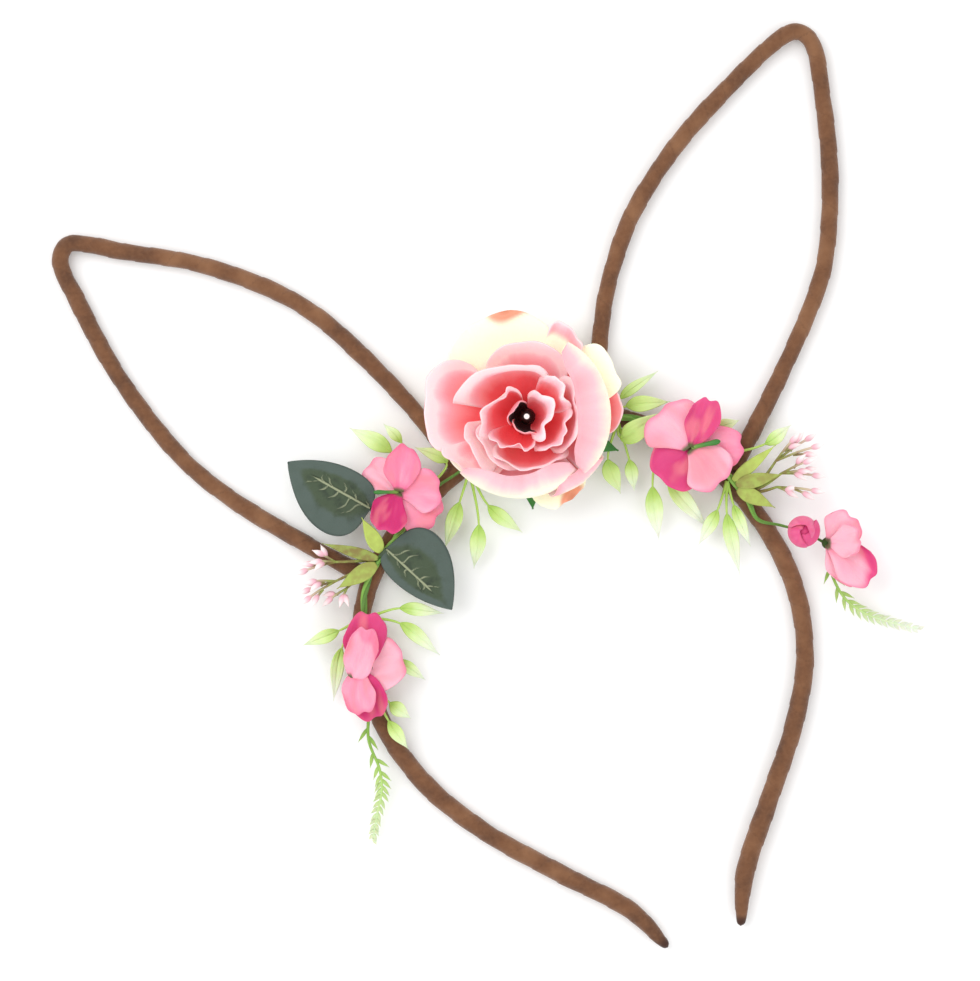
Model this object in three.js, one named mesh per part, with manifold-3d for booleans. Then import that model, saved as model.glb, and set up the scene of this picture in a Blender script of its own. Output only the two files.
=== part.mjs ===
import * as THREE from "three";
import { mergeVertices } from "three/addons/utils/BufferGeometryUtils.js";
import Module from "manifold-3d";

const wasm = await Module();
wasm.setup();

// Bunny ears headband with a flower garland. Millimetres. It lies on its back:
// the flowers face +Z, the ears point towards +Y.

// Driving dimensions
const BAND_WIDTH = 5.5;
const EAR_WIDTH = 5;
const STEM_WIDTH = 2.2;
const TWIG_WIDTH = 1.2;
const CLOTH = 1;
const CLEARANCE = 0.3;
const SLIVER = 0.2;
const STEM_WEAVE = 0.8;
const STEM_WAVE = 5;
const STEM_Z = BAND_WIDTH + CLEARANCE + STEM_WIDTH / 2;
const STEM_TOP = STEM_Z + STEM_WIDTH / 2;
const FLOWER_Z = STEM_TOP + CLEARANCE;

const ROSE_CENTRE = [1.2, 35.5];
const CALYX_RADIUS = 8;
const CALYX_HEIGHT = 2.4;
const SEPAL_REACH = 27.5;
const SEPAL_WIDTH = 8;
const SEPAL_ANGLES = [-104, -54, 24, 98, 170];
const LAYER_PITCH = 1.5;
const LAYER_MARGIN = 0.6;
const PETAL_CORNER = 0.28;
const PETAL_LAP = 0.7;
const HEART_RADIUS = 2.4;
const TUBE_HEIGHT = 2;
const TUBE_TOP = 2;
const TUBE_FOOT = 1.4;
const PETAL_STACK = 1.3;
const PISTIL_WIDTH = 1.4;
const PISTIL_LIFT = 2.8;
const PISTIL_RISE = 0.6;
const FLOWER_BUD = [69, -22.3];
const FLOWER_BUD_RADIUS = 4.6;
const FLOWER_BUD_HEIGHT = 9.8;
const STALK_SHARE = 0.25;
const SPRIG_BUD_LENGTH = 4;
const SPRIG_BUD_WIDTH = 2.2;
const SPRIG_BUD_TIP = 0.4;
const FERN_PAIRS = 4;
const FERN_ANGLE = 38;
const LEAFLET = { first: 6, last: 2.5, width: 1.6, thickness: 0.8 };
const WIRE_STEPS = 2;
const WIRE_SIDES = 8;
const STEM_STEPS = 14;
const STEM_SIDES = 6;

// Centreline of the band from the left end over the head to the right end, with the wire's width.
const BAND = [
  // x, y, width
  [-7.5, -128.5, 1.6],
  [-14.5, -115, 5.3],
  [-31.5, -97.5, BAND_WIDTH],
  [-50, -77.5, BAND_WIDTH],
  [-62.5, -57.5, BAND_WIDTH],
  [-68.5, -34, BAND_WIDTH],
  [-65, -8, BAND_WIDTH],
  [-51.5, 10.5, BAND_WIDTH],
  [-30, 23.5, BAND_WIDTH],
  [-2, 32, BAND_WIDTH],
  [25, 28, BAND_WIDTH],
  [45, 12, BAND_WIDTH],
  [57.5, -12.5, BAND_WIDTH],
  [62, -37, BAND_WIDTH],
  [58.5, -58.5, BAND_WIDTH],
  [49, -77, BAND_WIDTH],
  [35, -96, BAND_WIDTH],
  [21.5, -114.5, BAND_WIDTH],
  [15.5, -129, 2],
];

// Centreline of each ear from its first foot on the band round the tip to its second foot.
const EARS = {
  ear_left: [
    // x, y
    [-22.5, 25.5],
    [-27, 40],
    [-33, 54.5],
    [-40.5, 69.5],
    [-48.5, 83],
    [-58, 94],
    [-78, 109.5],
    [-99.5, 120.7],
    [-108, 125.5],
    [-113.8, 127.2],
    [-117.2, 123],
    [-116, 110.5],
    [-111, 84],
    [-100.5, 55.3],
    [-90, 39],
    [-75.3, 22],
    [-58.5, 4.2],
  ],
  ear_right: [
    [19.5, 29.5],
    [24.5, 39.8],
    [34.5, 61.6],
    [41, 72],
    [49, 82.3],
    [59, 91.5],
    [71, 100.4],
    [85, 108.6],
    [108, 119.8],
    [113.7, 120.6],
    [117.2, 116.5],
    [115.2, 98.6],
    [109.8, 75],
    [101, 52.7],
    [94, 42.4],
    [76.5, 22.8],
    [54, 0.2],
  ],
};

// Garland stems: the band's rows between which each one runs, and where its free end turns off.
const STEMS = [
  { node: "stem_left", from: 5.15, to: 8.65, rows: 14, tail: [] },
  { node: "stem_right", from: 9.55, to: 12.1, rows: 10, tail: [[64, -19], [70, -23], [75, -28.5]] },
];

// Petal layers of the rose, from the outside in: open petals behind, then cupped ones round the throat.
const ROSE_LAYERS = [
  {
    node: "rose_outer", finish: "petalCream", foot: 5.2, steps: [4, 3],
    petals: [
      // heading, half angle, belly, rim radius, rim height
      [92, 40, 20, 33, 5],
      [41, 16, 19, 30.5, 5.5],
      [15, 14, 22, 32, 5],
      [-20, 25, 21, 29.2, 4],
      [-83, 36, 21, 30.2, 4],
      [197, 45, 20, 27, 4],
    ],
  },
  {
    node: "rose_second", finish: "petalPink", foot: 4.8, steps: [4, 4],
    petals: [
      [74, 31, 18, 25, 15],
      [150, 42, 23, 31.5, 11.5],
      [207, 25, 22, 27.3, 11],
      [256, 25, 28, 18, 17.5],
      [300, 24, 29.5, 16.5, 17],
      [-1, 42, 30.5, 16, 18],
    ],
  },
  {
    node: "rose_third", finish: "petalPink", foot: 4.2, steps: [4, 3],
    petals: [
      [85, 48, 17, 14.5, 15],
      [167, 39, 18, 16.5, 12],
      [247, 46, 18, 15, 13.5],
      [-15, 57, 16.5, 14.3, 14.5],
    ],
  },
  {
    node: "rose_fourth", finish: "petalCoral", foot: 3.4, steps: [3, 3],
    petals: [
      [42, 48, 11, 10, 12.5],
      [132, 48, 11.5, 9.5, 13],
      [222, 48, 12, 11, 12],
      [312, 48, 11, 9.5, 12.5],
    ],
  },
  {
    node: "rose_inner", finish: "petalCoral", foot: 2.6, steps: [3, 3],
    petals: [
      [20, 64, 6.2, 5.2, 10.5],
      [140, 64, 6.2, 5.2, 11],
      [260, 64, 6.2, 5.2, 10],
    ],
  },
];

// Small blossoms: the flower's centre and its petals as seen from the front.
const BLOSSOMS = [
  {
    node: "blossom_upper_left",
    centre: [-42, 26],
    stalk: [-38, 18.5],
    petals: [
      // heading, length, width, lift, curl
      [66, 14, 13, 4, 1],
      [-38, 14.5, 15, 1, 1],
      [-138, 13, 12, 6, 0],
      [124, 12, 11, 2, 2],
    ],
  },
  {
    node: "blossom_lower_left",
    centre: [-67, -20.5],
    petals: [
      [82, 15.5, 12, 3, 2],
      [15, 10.5, 13, 2, 1],
      [-98, 14, 11, 3, 2],
      [-128, 14.5, 9, 1, 0],
      [168, 9.5, 14, 6, 0],
    ],
  },
  {
    node: "blossom_upper_right",
    centre: [46.5, 11.5],
    petals: [
      [112, 14.5, 17, 3, 1],
      [52, 13.5, 10, 5, 0],
      [-22, 13, 12, 2, 1],
      [-78, 13.5, 12, 2, 1],
      [-168, 14.5, 12, 5, 1],
    ],
  },
  {
    node: "blossom_lower_right",
    centre: [75, -28],
    petals: [
      [55, 9.5, 10, 3, 1],
      [5, 9.5, 9, 3, 0],
      [-52, 17, 12, 4, 1],
      [-82, 14.5, 9, 2, 1],
    ],
  },
];

// Green pins that lie in the flowers, from the heart outwards.
const PISTILS = [
  // node, from x, from y, to x, to y
  ["pistil_upper_left", -43, 26.5, -49, 28.2],
  ["pistil_upper_right", 48, 12, 54.5, 13],
];

// Dark leaves: the foot of the stalk, the blade from base to tip, and its two halves.
const DARK_LEAVES = [
  {
    node: "leaf_upper", stalk: [-46, 14.8], base: [-51.5, 24], tip: [-70.6, 44.7],
    left: 13, right: 7.5, rise: 2, roll: -4,
  },
  {
    node: "leaf_lower", stalk: [-53, 9.5], base: [-50.7, 10.9], tip: [-37.7, -12.3],
    left: 12.3, right: 5, rise: 1, roll: 14,
  },
];

// Light green sprays: where they leave the stem, on which side, and their leaves.
const OUTER = 1;
const INNER = -1;
const SPRAYS = [
  {
    node: "spray_upper_left", station: 7.85, side: OUTER,
    leaves: [
      // base x, base y, tip x, tip y, width, tip z
      [-40.3, 38, -50.1, 48.8, 6.5, 5],
      [-36.6, 39.7, -40, 46.8, 4, 7],
      [-25.7, 29.8, -33.3, 37.3, 5, 7.5],
    ],
  },
  {
    node: "spray_under_rose", station: 8.35, side: INNER,
    leaves: [
      [-25.6, 17.5, -34.1, 5.7, 6, 3],
      [-22.2, 9.4, -27.7, -2.7, 6, 3],
      [-17.8, 14, -10.6, 3.1, 5.5, 3.5],
    ],
  },
  {
    node: "spray_right_of_rose", station: 10.05, side: OUTER,
    leaves: [
      [30, 30.5, 43, 28, 6, 7],
      [29.5, 32, 43, 36.5, 4, 5],
    ],
  },
  {
    node: "spray_beside_rose", station: 10.1, side: INNER,
    leaves: [
      [20.5, 16, 21, 5.1, 6.5, 4],
      [26.5, 14, 25.2, 4.5, 5, 3],
    ],
  },
  {
    node: "spray_under_right", station: 10.6, side: INNER,
    leaves: [
      [30.7, 4.2, 27.7, -11.8, 6.5, 2],
      [36, 5, 42.8, -13, 6.5, 2.5],
    ],
  },
  {
    node: "spray_right_inner", station: 11.55, side: INNER,
    leaves: [
      [47, -8.5, 38.4, -16.9, 5, 3],
      [49.3, -10.4, 47.5, -29.2, 5.5, 2.5],
      [52, -8.5, 53, -22, 4.5, 6.5],
    ],
  },
  {
    node: "spray_right_outer", station: 11.25, side: OUTER,
    leaves: [
      [53.5, 14, 61.5, 15, 5, 7.5],
      [66.5, 5.8, 75.7, 8.8, 5, 6],
    ],
  },
  {
    node: "spray_left_outer", station: 6.05, side: OUTER,
    leaves: [
      [-71.7, -7.9, -83.6, -8.8, 5, 4],
      [-72.5, -13, -80, -27.5, 5, 3],
    ],
  },
  {
    node: "spray_left_inner", station: 6.1, side: INNER,
    leaves: [
      [-52.5, -7.1, -40.4, -12.7, 5, 4],
      [-53.8, -11.4, -45.4, -24.3, 5.5, 3],
      [-57.2, -21.5, -51.8, -30, 4.5, 3.5],
    ],
  },
  {
    node: "spray_tail_left", station: 5.3, side: INNER,
    leaves: [
      [-64, -33, -59.5, -39.5, 5.5, 5.5],
      [-66, -38, -63, -48, 5, 7],
    ],
  },
];

// Bud sprigs: a twig runs from the root to each fork, and from there to the buds.
const SPRIGS = [
  {
    node: "sprig_left", station: 6.85, side: OUTER,
    forks: [
      // fork x, y, z, then each bud's x, y, z
      { at: [-66.5, 12, 8], buds: [[-72, 17.5, 7], [-74.1, 14.2, 10.5], [-79.2, 12, 8]] },
      { at: [-68, 6.5, 8.5], buds: [[-77.5, 9, 11], [-80, 6.2, 7], [-80.5, 3, 9.5]] },
      { at: [-65.5, 3.5, 7.5], buds: [[-74.4, 0.5, 6.5], [-69.5, -1.5, 8]] },
    ],
  },
  {
    node: "sprig_right", station: 11.8, side: OUTER,
    forks: [
      { at: [68, 0, 8], buds: [[77.5, 5.8, 9], [82.4, 4, 7], [83.4, 0.3, 10.5]] },
      { at: [68.5, -4, 9], buds: [[79.5, -3, 12], [77.2, -6.3, 9.5], [80.7, -9.2, 7]] },
      { at: [66, -7.5, 7.5], buds: [[79, -13.5, 10], [71, -12.6, 8]] },
    ],
  },
];

// Fern tails: the stem's route, thinning out into a feathery spike.
const FERNS = [
  {
    node: "fern_left",
    route: [
      // x, y, z
      [-69.4, -31.4, STEM_Z],
      [-73.4, -41.4, 6.5],
      [-73.1, -51.3, 5.5],
      [-74.5, -57.5, 4.5],
      [-78.3, -64.2, 3.5],
      [-81.5, -70.3, 2.5],
    ],
  },
  {
    node: "fern_right",
    route: [
      [75.3, -29.9, STEM_Z],
      [73.6, -38, 6.5],
      [75.3, -45.9, 5.5],
      [79.7, -51.8, 4.5],
      [86, -56.6, 3.5],
      [93.3, -61.2, 2.5],
    ],
  },
];

// Finishes
const finish = (color, roughness) => new THREE.MeshStandardMaterial({ color, roughness, metalness: 0 });
const FINISH = {
  ribbon: finish("#8c5a41", 0.85),
  stemGreen: finish("#6fae35", 0.5),
  sprayGreen: finish("#c3e27c", 0.5),
  twigGreen: finish("#a9ad62", 0.55),
  leafDark: finish("#4f6459", 0.6),
  calyxGreen: finish("#5f8f3c", 0.55),
  petalCream: finish("#fbe6cf", 0.8),
  petalPink: finish("#fbb3b6", 0.8),
  petalCoral: finish("#f0707c", 0.8),
  blossomPink: finish("#f892b4", 0.8),
  blossomDeep: finish("#e8468a", 0.8),
  heartDark: finish("#2a1210", 0.25),
};

// Outline of a blade, as the share of its full half width at v from base (0) to tip (1)
const roundEnd = (v) => THREE.MathUtils.lerp(0.2, 1, THREE.MathUtils.smoothstep(v, 0, 0.6))
  * Math.sqrt(Math.max(0.04, 1 - (Math.max(0, v - 0.5) / 0.5) ** 2.5));
const slimLeaf = (v) => Math.max(0.1, Math.sin(Math.PI * v ** 0.8) ** 0.9);
const broadLeaf = (v) => Math.max(0.1, Math.sqrt(Math.max(0, Math.sin(Math.PI * v ** 0.6))));

const point = (x, y, z) => new THREE.Vector3(x, y, z);
const radians = THREE.MathUtils.degToRad;

// A closed skin from a list of corner points and triangle corners
function skin(points, index) {
  const geometry = new THREE.BufferGeometry();
  geometry.setAttribute("position", new THREE.Float32BufferAttribute(points.flatMap((p) => p.toArray()), 3));
  geometry.setIndex(index);
  return geometry;
}

// Evenly spaced stops from 0 to 1
const even = (count) => Array.from({ length: count + 1 }, (_, i) => i / count);

// A wire along a curve, with flats at the top and bottom, and its width at each stop
function sweep(curve, stops, sides, widthAt) {
  const points = [];
  const index = [];
  stops.forEach((t, step) => {
    const centre = curve.getPoint(t);
    const along = curve.getTangent(t);
    const across = point(0, 0, 1).cross(along).normalize();
    const up = along.clone().cross(across);
    const radius = widthAt(t) / 2 / Math.cos(Math.PI / sides);
    for (let side = 0; side < sides; side++) {
      const angle = (side + 0.5) * 2 * Math.PI / sides - Math.PI / 2;
      points.push(centre.clone()
        .addScaledVector(across, radius * Math.cos(angle))
        .addScaledVector(up, radius * Math.sin(angle)));
      if (step > 0) {
        const a = (step - 1) * sides + side;
        const b = (step - 1) * sides + (side + 1) % sides;
        index.push(a, b, b + sides, a, b + sides, a + sides);
      }
    }
  });
  const last = points.length - sides;
  points.push(curve.getPoint(0), curve.getPoint(1));
  for (let side = 0; side < sides; side++) {
    const next = (side + 1) % sides;
    index.push(points.length - 2, next, side);
    index.push(points.length - 1, last + side, last + next);
  }
  return skin(points, index);
}

// A thin blade of even thickness about surface(u, v), u across from -1 to 1, v from base 0 to tip 1
function sheet(surface, across, along, thickness) {
  const upper = [];
  const lower = [];
  const delta = 1e-3;
  for (let j = 0; j <= along; j++) {
    for (let i = 0; i <= across; i++) {
      const u = -1 + 2 * i / across;
      const v = j / along;
      const du = surface(Math.min(u + delta, 1), v).sub(surface(Math.max(u - delta, -1), v));
      const dv = surface(u, Math.min(v + delta, 1)).sub(surface(u, Math.max(v - delta, 0)));
      const normal = du.cross(dv).normalize();
      upper.push(surface(u, v).addScaledVector(normal, thickness / 2));
      lower.push(surface(u, v).addScaledVector(normal, -thickness / 2));
    }
  }
  const row = across + 1;
  const under = upper.length;
  const index = [];
  for (let j = 0; j < along; j++) {
    for (let i = 0; i < across; i++) {
      const a = j * row + i;
      index.push(a, a + 1, a + row + 1, a, a + row + 1, a + row);
      index.push(under + a, under + a + row + 1, under + a + 1);
      index.push(under + a, under + a + row, under + a + row + 1);
    }
  }
  const wall = (a, b) => index.push(under + a, under + b, b, under + a, b, a);
  for (let i = 0; i < across; i++) {
    wall(i, i + 1);
    wall(along * row + i + 1, along * row + i);
  }
  for (let j = 0; j < along; j++) {
    wall((j + 1) * row, j * row);
    wall(j * row + across, (j + 1) * row + across);
  }
  return skin([...upper, ...lower], index);
}

// Joining and cutting of closed skins
function solid(geometry) {
  const bare = geometry.clone();
  bare.deleteAttribute("normal");
  bare.deleteAttribute("uv");
  const merged = mergeVertices(bare, 1e-4);
  return new wasm.Manifold(new wasm.Mesh({
    numProp: 3,
    vertProperties: new Float32Array(merged.attributes.position.array),
    triVerts: new Uint32Array(merged.index.array),
  }));
}

function geometryOf(body) {
  const mesh = body.getMesh();
  const geometry = new THREE.BufferGeometry();
  geometry.setAttribute("position", new THREE.Float32BufferAttribute(mesh.vertProperties, 3));
  geometry.setIndex(Array.from(mesh.triVerts));
  return geometry;
}

const fuse = (geometries) => geometryOf(wasm.Manifold.union(geometries.map(solid)).simplify(SLIVER));
const cut = (geometry, tool) => geometryOf(solid(geometry).subtract(solid(tool)));

function piece(node, geometry, material) {
  const mesh = new THREE.Mesh(geometry, material);
  mesh.name = node;
  geometry.computeVertexNormals();
  return mesh;
}

// A round pin or twig through a few points
const twig = (points, width, steps, sides) => (
  sweep(new THREE.CatmullRomCurve3(points), even(steps), sides, () => width)
);

// The band's centreline at a fractional row of its table
const bandLine = new THREE.CatmullRomCurve3(BAND.map(([x, y]) => point(x, y, 0)));
const LAST_STATION = BAND.length - 1;

function bandWidth(t) {
  const row = Math.min(Math.floor(t * LAST_STATION), LAST_STATION - 1);
  return THREE.MathUtils.lerp(BAND[row][2], BAND[row + 1][2], t * LAST_STATION - row);
}

// Point on the garland's stem, which weaves to and fro along the front of the band
function stemPoint(station, shift = 0) {
  const t = station / LAST_STATION;
  const along = bandLine.getTangent(t);
  const outwards = point(-along.y, along.x, 0);
  const weave = STEM_WEAVE * Math.sin(station * STEM_WAVE);
  return bandLine.getPoint(t).addScaledVector(outwards, weave + shift).setZ(STEM_Z);
}

// Where a twig or a spray leaves the stem, clear of it on one side
const ROOT_SHIFT = STEM_WIDTH / 2 + CLEARANCE + 0.7 * TWIG_WIDTH;
const besideStem = (station, side) => stemPoint(station, side * ROOT_SHIFT);

// Wire frame: the band, and the ears whose feet are saddled onto it
function buildFrame() {
  const frame = new THREE.Group();
  const stops = even(LAST_STATION * WIRE_STEPS);
  const bandSkin = (extra) => sweep(bandLine, stops, WIRE_SIDES, (t) => bandWidth(t) + extra);
  const band = bandSkin(0).translate(0, 0, BAND_WIDTH / 2);
  frame.add(piece("band", band, FINISH.ribbon));
  const saddle = bandSkin(2 * CLEARANCE).translate(0, 0, BAND_WIDTH / 2);
  for (const [node, rows] of Object.entries(EARS)) {
    const line = new THREE.CatmullRomCurve3(rows.map(([x, y]) => point(x, y, EAR_WIDTH / 2)));
    const ear = sweep(line, even((rows.length - 1) * WIRE_STEPS), WIRE_SIDES, () => EAR_WIDTH);
    frame.add(piece(node, cut(ear, saddle), FINISH.ribbon));
  }
  return frame;
}

// A garland stem on the front of the band, left or right of the rose
function buildStem({ node, from, to, rows, tail }) {
  const woven = even(rows).map((t) => stemPoint(THREE.MathUtils.lerp(from, to, t)));
  const free = tail.map(([x, y]) => point(x, y, STEM_Z));
  const line = new THREE.CatmullRomCurve3([...woven, ...free]);
  return piece(node, sweep(line, even(STEM_STEPS), STEM_SIDES, () => STEM_WIDTH), FINISH.stemGreen);
}

// One rose petal: a profile from foot over belly to rim, swept round the flower's axis
function rosePetal(foot, [heading, half, belly, rim, height]) {
  const profile = new THREE.CubicBezierCurve(
    new THREE.Vector2(foot, 0),
    new THREE.Vector2(0.95 * belly, 0.1 * height),
    new THREE.Vector2(1.12 * belly, 0.7 * height),
    new THREE.Vector2(rim, height),
  );
  return (u, v) => {
    const station = profile.getPoint(v * (1 - PETAL_CORNER * Math.abs(u) ** 2.5));
    const angle = radians(heading + half * u);
    const radius = station.x + PETAL_LAP * u * v;
    return point(radius * Math.cos(angle), radius * Math.sin(angle), station.y);
  };
}

function buildRose() {
  const rose = new THREE.Group();
  rose.position.set(...ROSE_CENTRE, BAND_WIDTH + CLEARANCE);
  const cup = new THREE.LatheGeometry([
    new THREE.Vector2(0, 0),
    new THREE.Vector2(CALYX_RADIUS - 1, 0),
    new THREE.Vector2(CALYX_RADIUS, CALYX_HEIGHT),
    new THREE.Vector2(0, CALYX_HEIGHT),
  ], 16).rotateX(Math.PI / 2);
  const sepals = SEPAL_ANGLES.map((heading) => sheet((u, v) => {
    const angle = radians(heading);
    const radius = THREE.MathUtils.lerp(CALYX_RADIUS / 2, SEPAL_REACH, v);
    const side = SEPAL_WIDTH / 2 * slimLeaf(v) * u;
    return point(
      radius * Math.cos(angle) - side * Math.sin(angle),
      radius * Math.sin(angle) + side * Math.cos(angle),
      CALYX_HEIGHT - CLOTH / 2,
    );
  }, 2, 3, CLOTH));
  rose.add(piece("rose_calyx", fuse([cup, ...sepals]), FINISH.calyxGreen));

  ROSE_LAYERS.forEach((layer, i) => {
    const radius = layer.foot + LAYER_MARGIN;
    const disc = new THREE.CylinderGeometry(radius, radius, CLOTH, 12).rotateX(Math.PI / 2);
    const petals = layer.petals.map((row) => sheet(rosePetal(layer.foot, row), ...layer.steps, CLOTH));
    const mesh = piece(layer.node, fuse([disc, ...petals]), FINISH[layer.finish]);
    mesh.position.z = CALYX_HEIGHT + CLEARANCE + CLOTH / 2 + i * LAYER_PITCH;
    rose.add(mesh);
  });

  const heart = piece("rose_heart", new THREE.IcosahedronGeometry(HEART_RADIUS, 1), FINISH.heartDark);
  heart.geometry = geometryOf(solid(heart.geometry));
  heart.position.z = CALYX_HEIGHT + CLEARANCE + ROSE_LAYERS.length * LAYER_PITCH + HEART_RADIUS;
  rose.add(heart);
  return rose;
}

// A small blossom: rounded petals on a short tube, with a stalk from the stem where it stands aside
function buildBlossom({ node, centre, stalk, petals }) {
  const tube = new THREE.CylinderGeometry(TUBE_TOP, TUBE_FOOT, TUBE_HEIGHT + 2 * CLOTH, 8);
  tube.rotateX(Math.PI / 2).translate(0, 0, CLOTH - TUBE_HEIGHT / 2);
  const blades = petals.map(([heading, length, width, lift, curl], i) => sheet((u, v) => {
    const angle = radians(heading);
    const radius = TUBE_FOOT + (length - TUBE_FOOT) * v * (1 - 0.06 * u * u);
    const side = width / 2 * roundEnd(v) * u;
    const droop = curl * Math.max(0, (v - 0.6) / 0.4) ** 2;
    return point(
      radius * Math.cos(angle) - side * Math.sin(angle),
      radius * Math.sin(angle) + side * Math.cos(angle),
      PETAL_STACK * (i % 2) + lift * v ** 1.5 + 0.8 * u * u * v - droop,
    );
  }, 2, 4, CLOTH));
  const foot = stalk && twig([
    point(stalk[0] - centre[0], stalk[1] - centre[1], TWIG_WIDTH / 2 - TUBE_HEIGHT),
    point(0, 0, TWIG_WIDTH / 2 - TUBE_HEIGHT),
  ], TWIG_WIDTH, 1, 6);
  const blossom = piece(node, fuse([tube, ...blades, foot].filter(Boolean)), FINISH.blossomPink);
  blossom.position.set(...centre, FLOWER_Z + TUBE_HEIGHT);
  return blossom;
}

function buildPistil([node, fromX, fromY, toX, toY]) {
  const foot = FLOWER_Z + TUBE_HEIGHT + CLOTH / 2 + CLEARANCE + PISTIL_LIFT;
  const line = [point(fromX, fromY, foot), point(toX, toY, foot + PISTIL_RISE)];
  return piece(node, twig(line, PISTIL_WIDTH, 1, 6), FINISH.stemGreen);
}

// The closed flower beside the lower right blossom
function buildBud() {
  const profile = [
    // share of the radius, share of the height
    [0, 0],
    [0.3, 0],
    [0.48, 0.14],
    [0.9, 0.31],
    [1, 0.56],
    [0.8, 0.82],
    [0.4, 0.96],
    [0, 1],
  ];
  const ball = new THREE.LatheGeometry(
    profile.map(([r, h]) => new THREE.Vector2(r * FLOWER_BUD_RADIUS, h * FLOWER_BUD_HEIGHT)),
    10,
  ).rotateX(Math.PI / 2);
  const bud = piece("bud_lower_right", geometryOf(solid(ball)), FINISH.blossomDeep);
  bud.position.set(...FLOWER_BUD, FLOWER_Z);
  return bud;
}

// A broad dark leaf with a raised midrib, on a short stalk
function buildDarkLeaf({ node, stalk, base, tip, left, right, rise, roll }) {
  const start = point(...base, FLOWER_Z + 0.7);
  const axis = point(...tip, 0).sub(point(...base, 0));
  const across = point(-axis.y, axis.x, 0).normalize();
  const blade = sheet((u, v) => {
    const side = u * broadLeaf(v) * (u > 0 ? left : right);
    const height = rise * v + side * Math.tan(radians(roll)) + 0.012 * side * side;
    return start.clone().addScaledVector(axis, v).addScaledVector(across, side).add(point(0, 0, height));
  }, 6, 5, CLOTH);
  const rib = twig([
    point(...stalk, FLOWER_Z + TWIG_WIDTH / 2),
    start.clone(),
    start.clone().addScaledVector(axis, 0.3).add(point(0, 0, 0.3 * rise + 0.4)),
    start.clone().addScaledVector(axis, 0.65).add(point(0, 0, 0.65 * rise + 0.3)),
  ], TWIG_WIDTH, 5, 4);
  return piece(node, fuse([blade, rib]), FINISH.leafDark);
}

// A spray of slim leaves, each on its own flat stalk from one root beside the stem
function buildSpray({ node, station, side, leaves }) {
  const root = besideStem(station, side);
  const blades = leaves.map(([baseX, baseY, tipX, tipY, width, tipZ]) => {
    const base = point(baseX, baseY, STEM_Z + 0.2);
    const line = new THREE.CatmullRomCurve3([root, base, point(tipX, tipY, tipZ)]);
    return sheet((u, v) => {
      const blade = Math.max(0, (v - STALK_SHARE) / (1 - STALK_SHARE));
      const t = v < STALK_SHARE ? 0.5 * v / STALK_SHARE : 0.5 + 0.5 * blade;
      const along = line.getTangent(t);
      const half = u * Math.max(TWIG_WIDTH / 2 * (1 - blade), slimLeaf(blade) * width / 2);
      const arch = 0.8 * Math.sin(Math.PI * blade) + 0.08 * half * half;
      const across = point(-along.y, along.x, 0).normalize();
      return line.getPoint(t).addScaledVector(across, half).add(point(0, 0, arch));
    }, 2, 4, CLOTH);
  });
  return piece(node, fuse(blades), FINISH.sprayGreen);
}

// A sprig of forked twigs that swell into a small bud at the end
function buildSprig({ node, station, side, forks }) {
  const root = besideStem(station, side);
  const parts = [];
  for (const { at, buds } of forks) {
    const fork = point(...at);
    parts.push(twig([root, fork], TWIG_WIDTH, 1, 4));
    for (const end of buds) {
      const line = new THREE.LineCurve3(fork, point(...end));
      const neck = 1 - SPRIG_BUD_LENGTH / line.getLength();
      const stops = [0, neck, (2 * neck + 1) / 3, (neck + 2) / 3, 1];
      const shoot = 0.8 * TWIG_WIDTH;
      const widths = [shoot, shoot, SPRIG_BUD_WIDTH, SPRIG_BUD_WIDTH, SPRIG_BUD_TIP];
      parts.push(sweep(line, stops, 4, (t) => widths[stops.indexOf(t)]));
    }
  }
  return piece(node, fuse(parts), FINISH.twigGreen);
}

// A fern tail: leaflets in pairs along the stem, short and dense towards the tip
function buildFern({ node, route }) {
  const line = new THREE.CatmullRomCurve3(route.map((row) => point(...row)));
  const parts = [sweep(line, even(9), 4, (t) => THREE.MathUtils.lerp(TWIG_WIDTH, 0.8, t))];
  for (let i = 0; i < FERN_PAIRS; i++) {
    const t = 0.2 + 0.78 * i / (FERN_PAIRS - 1);
    const length = THREE.MathUtils.lerp(LEAFLET.first, LEAFLET.last, t);
    for (const side of [-1, 1]) {
      const base = line.getPoint(t);
      const along = line.getTangent(t).setZ(0).normalize();
      const heading = along.applyAxisAngle(point(0, 0, 1), side * radians(FERN_ANGLE));
      const across = point(-heading.y, heading.x, 0);
      parts.push(sheet((u, v) => {
        const half = LEAFLET.width / 2 * slimLeaf(v) * u;
        return base.clone().addScaledVector(heading, length * v).addScaledVector(across, half);
      }, 1, 2, LEAFLET.thickness));
    }
  }
  return piece(node, fuse(parts), FINISH.sprayGreen);
}

const headband = new THREE.Group();
headband.add(buildFrame(), buildRose(), buildBud());
headband.add(...STEMS.map(buildStem));
headband.add(...BLOSSOMS.map(buildBlossom));
headband.add(...PISTILS.map(buildPistil));
headband.add(...DARK_LEAVES.map(buildDarkLeaf));
headband.add(...SPRAYS.map(buildSpray));
headband.add(...SPRIGS.map(buildSprig));
headband.add(...FERNS.map(buildFern));

export default headband;
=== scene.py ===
"""Bunny ears headband: a ribbon-wound wire frame that carries a garland of cloth flowers and leaves."""

import logging
import math
from dataclasses import dataclass, field
from enum import Enum
from functools import cache, partial
from itertools import starmap
from typing import Callable, NamedTuple, Sequence, Union

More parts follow.
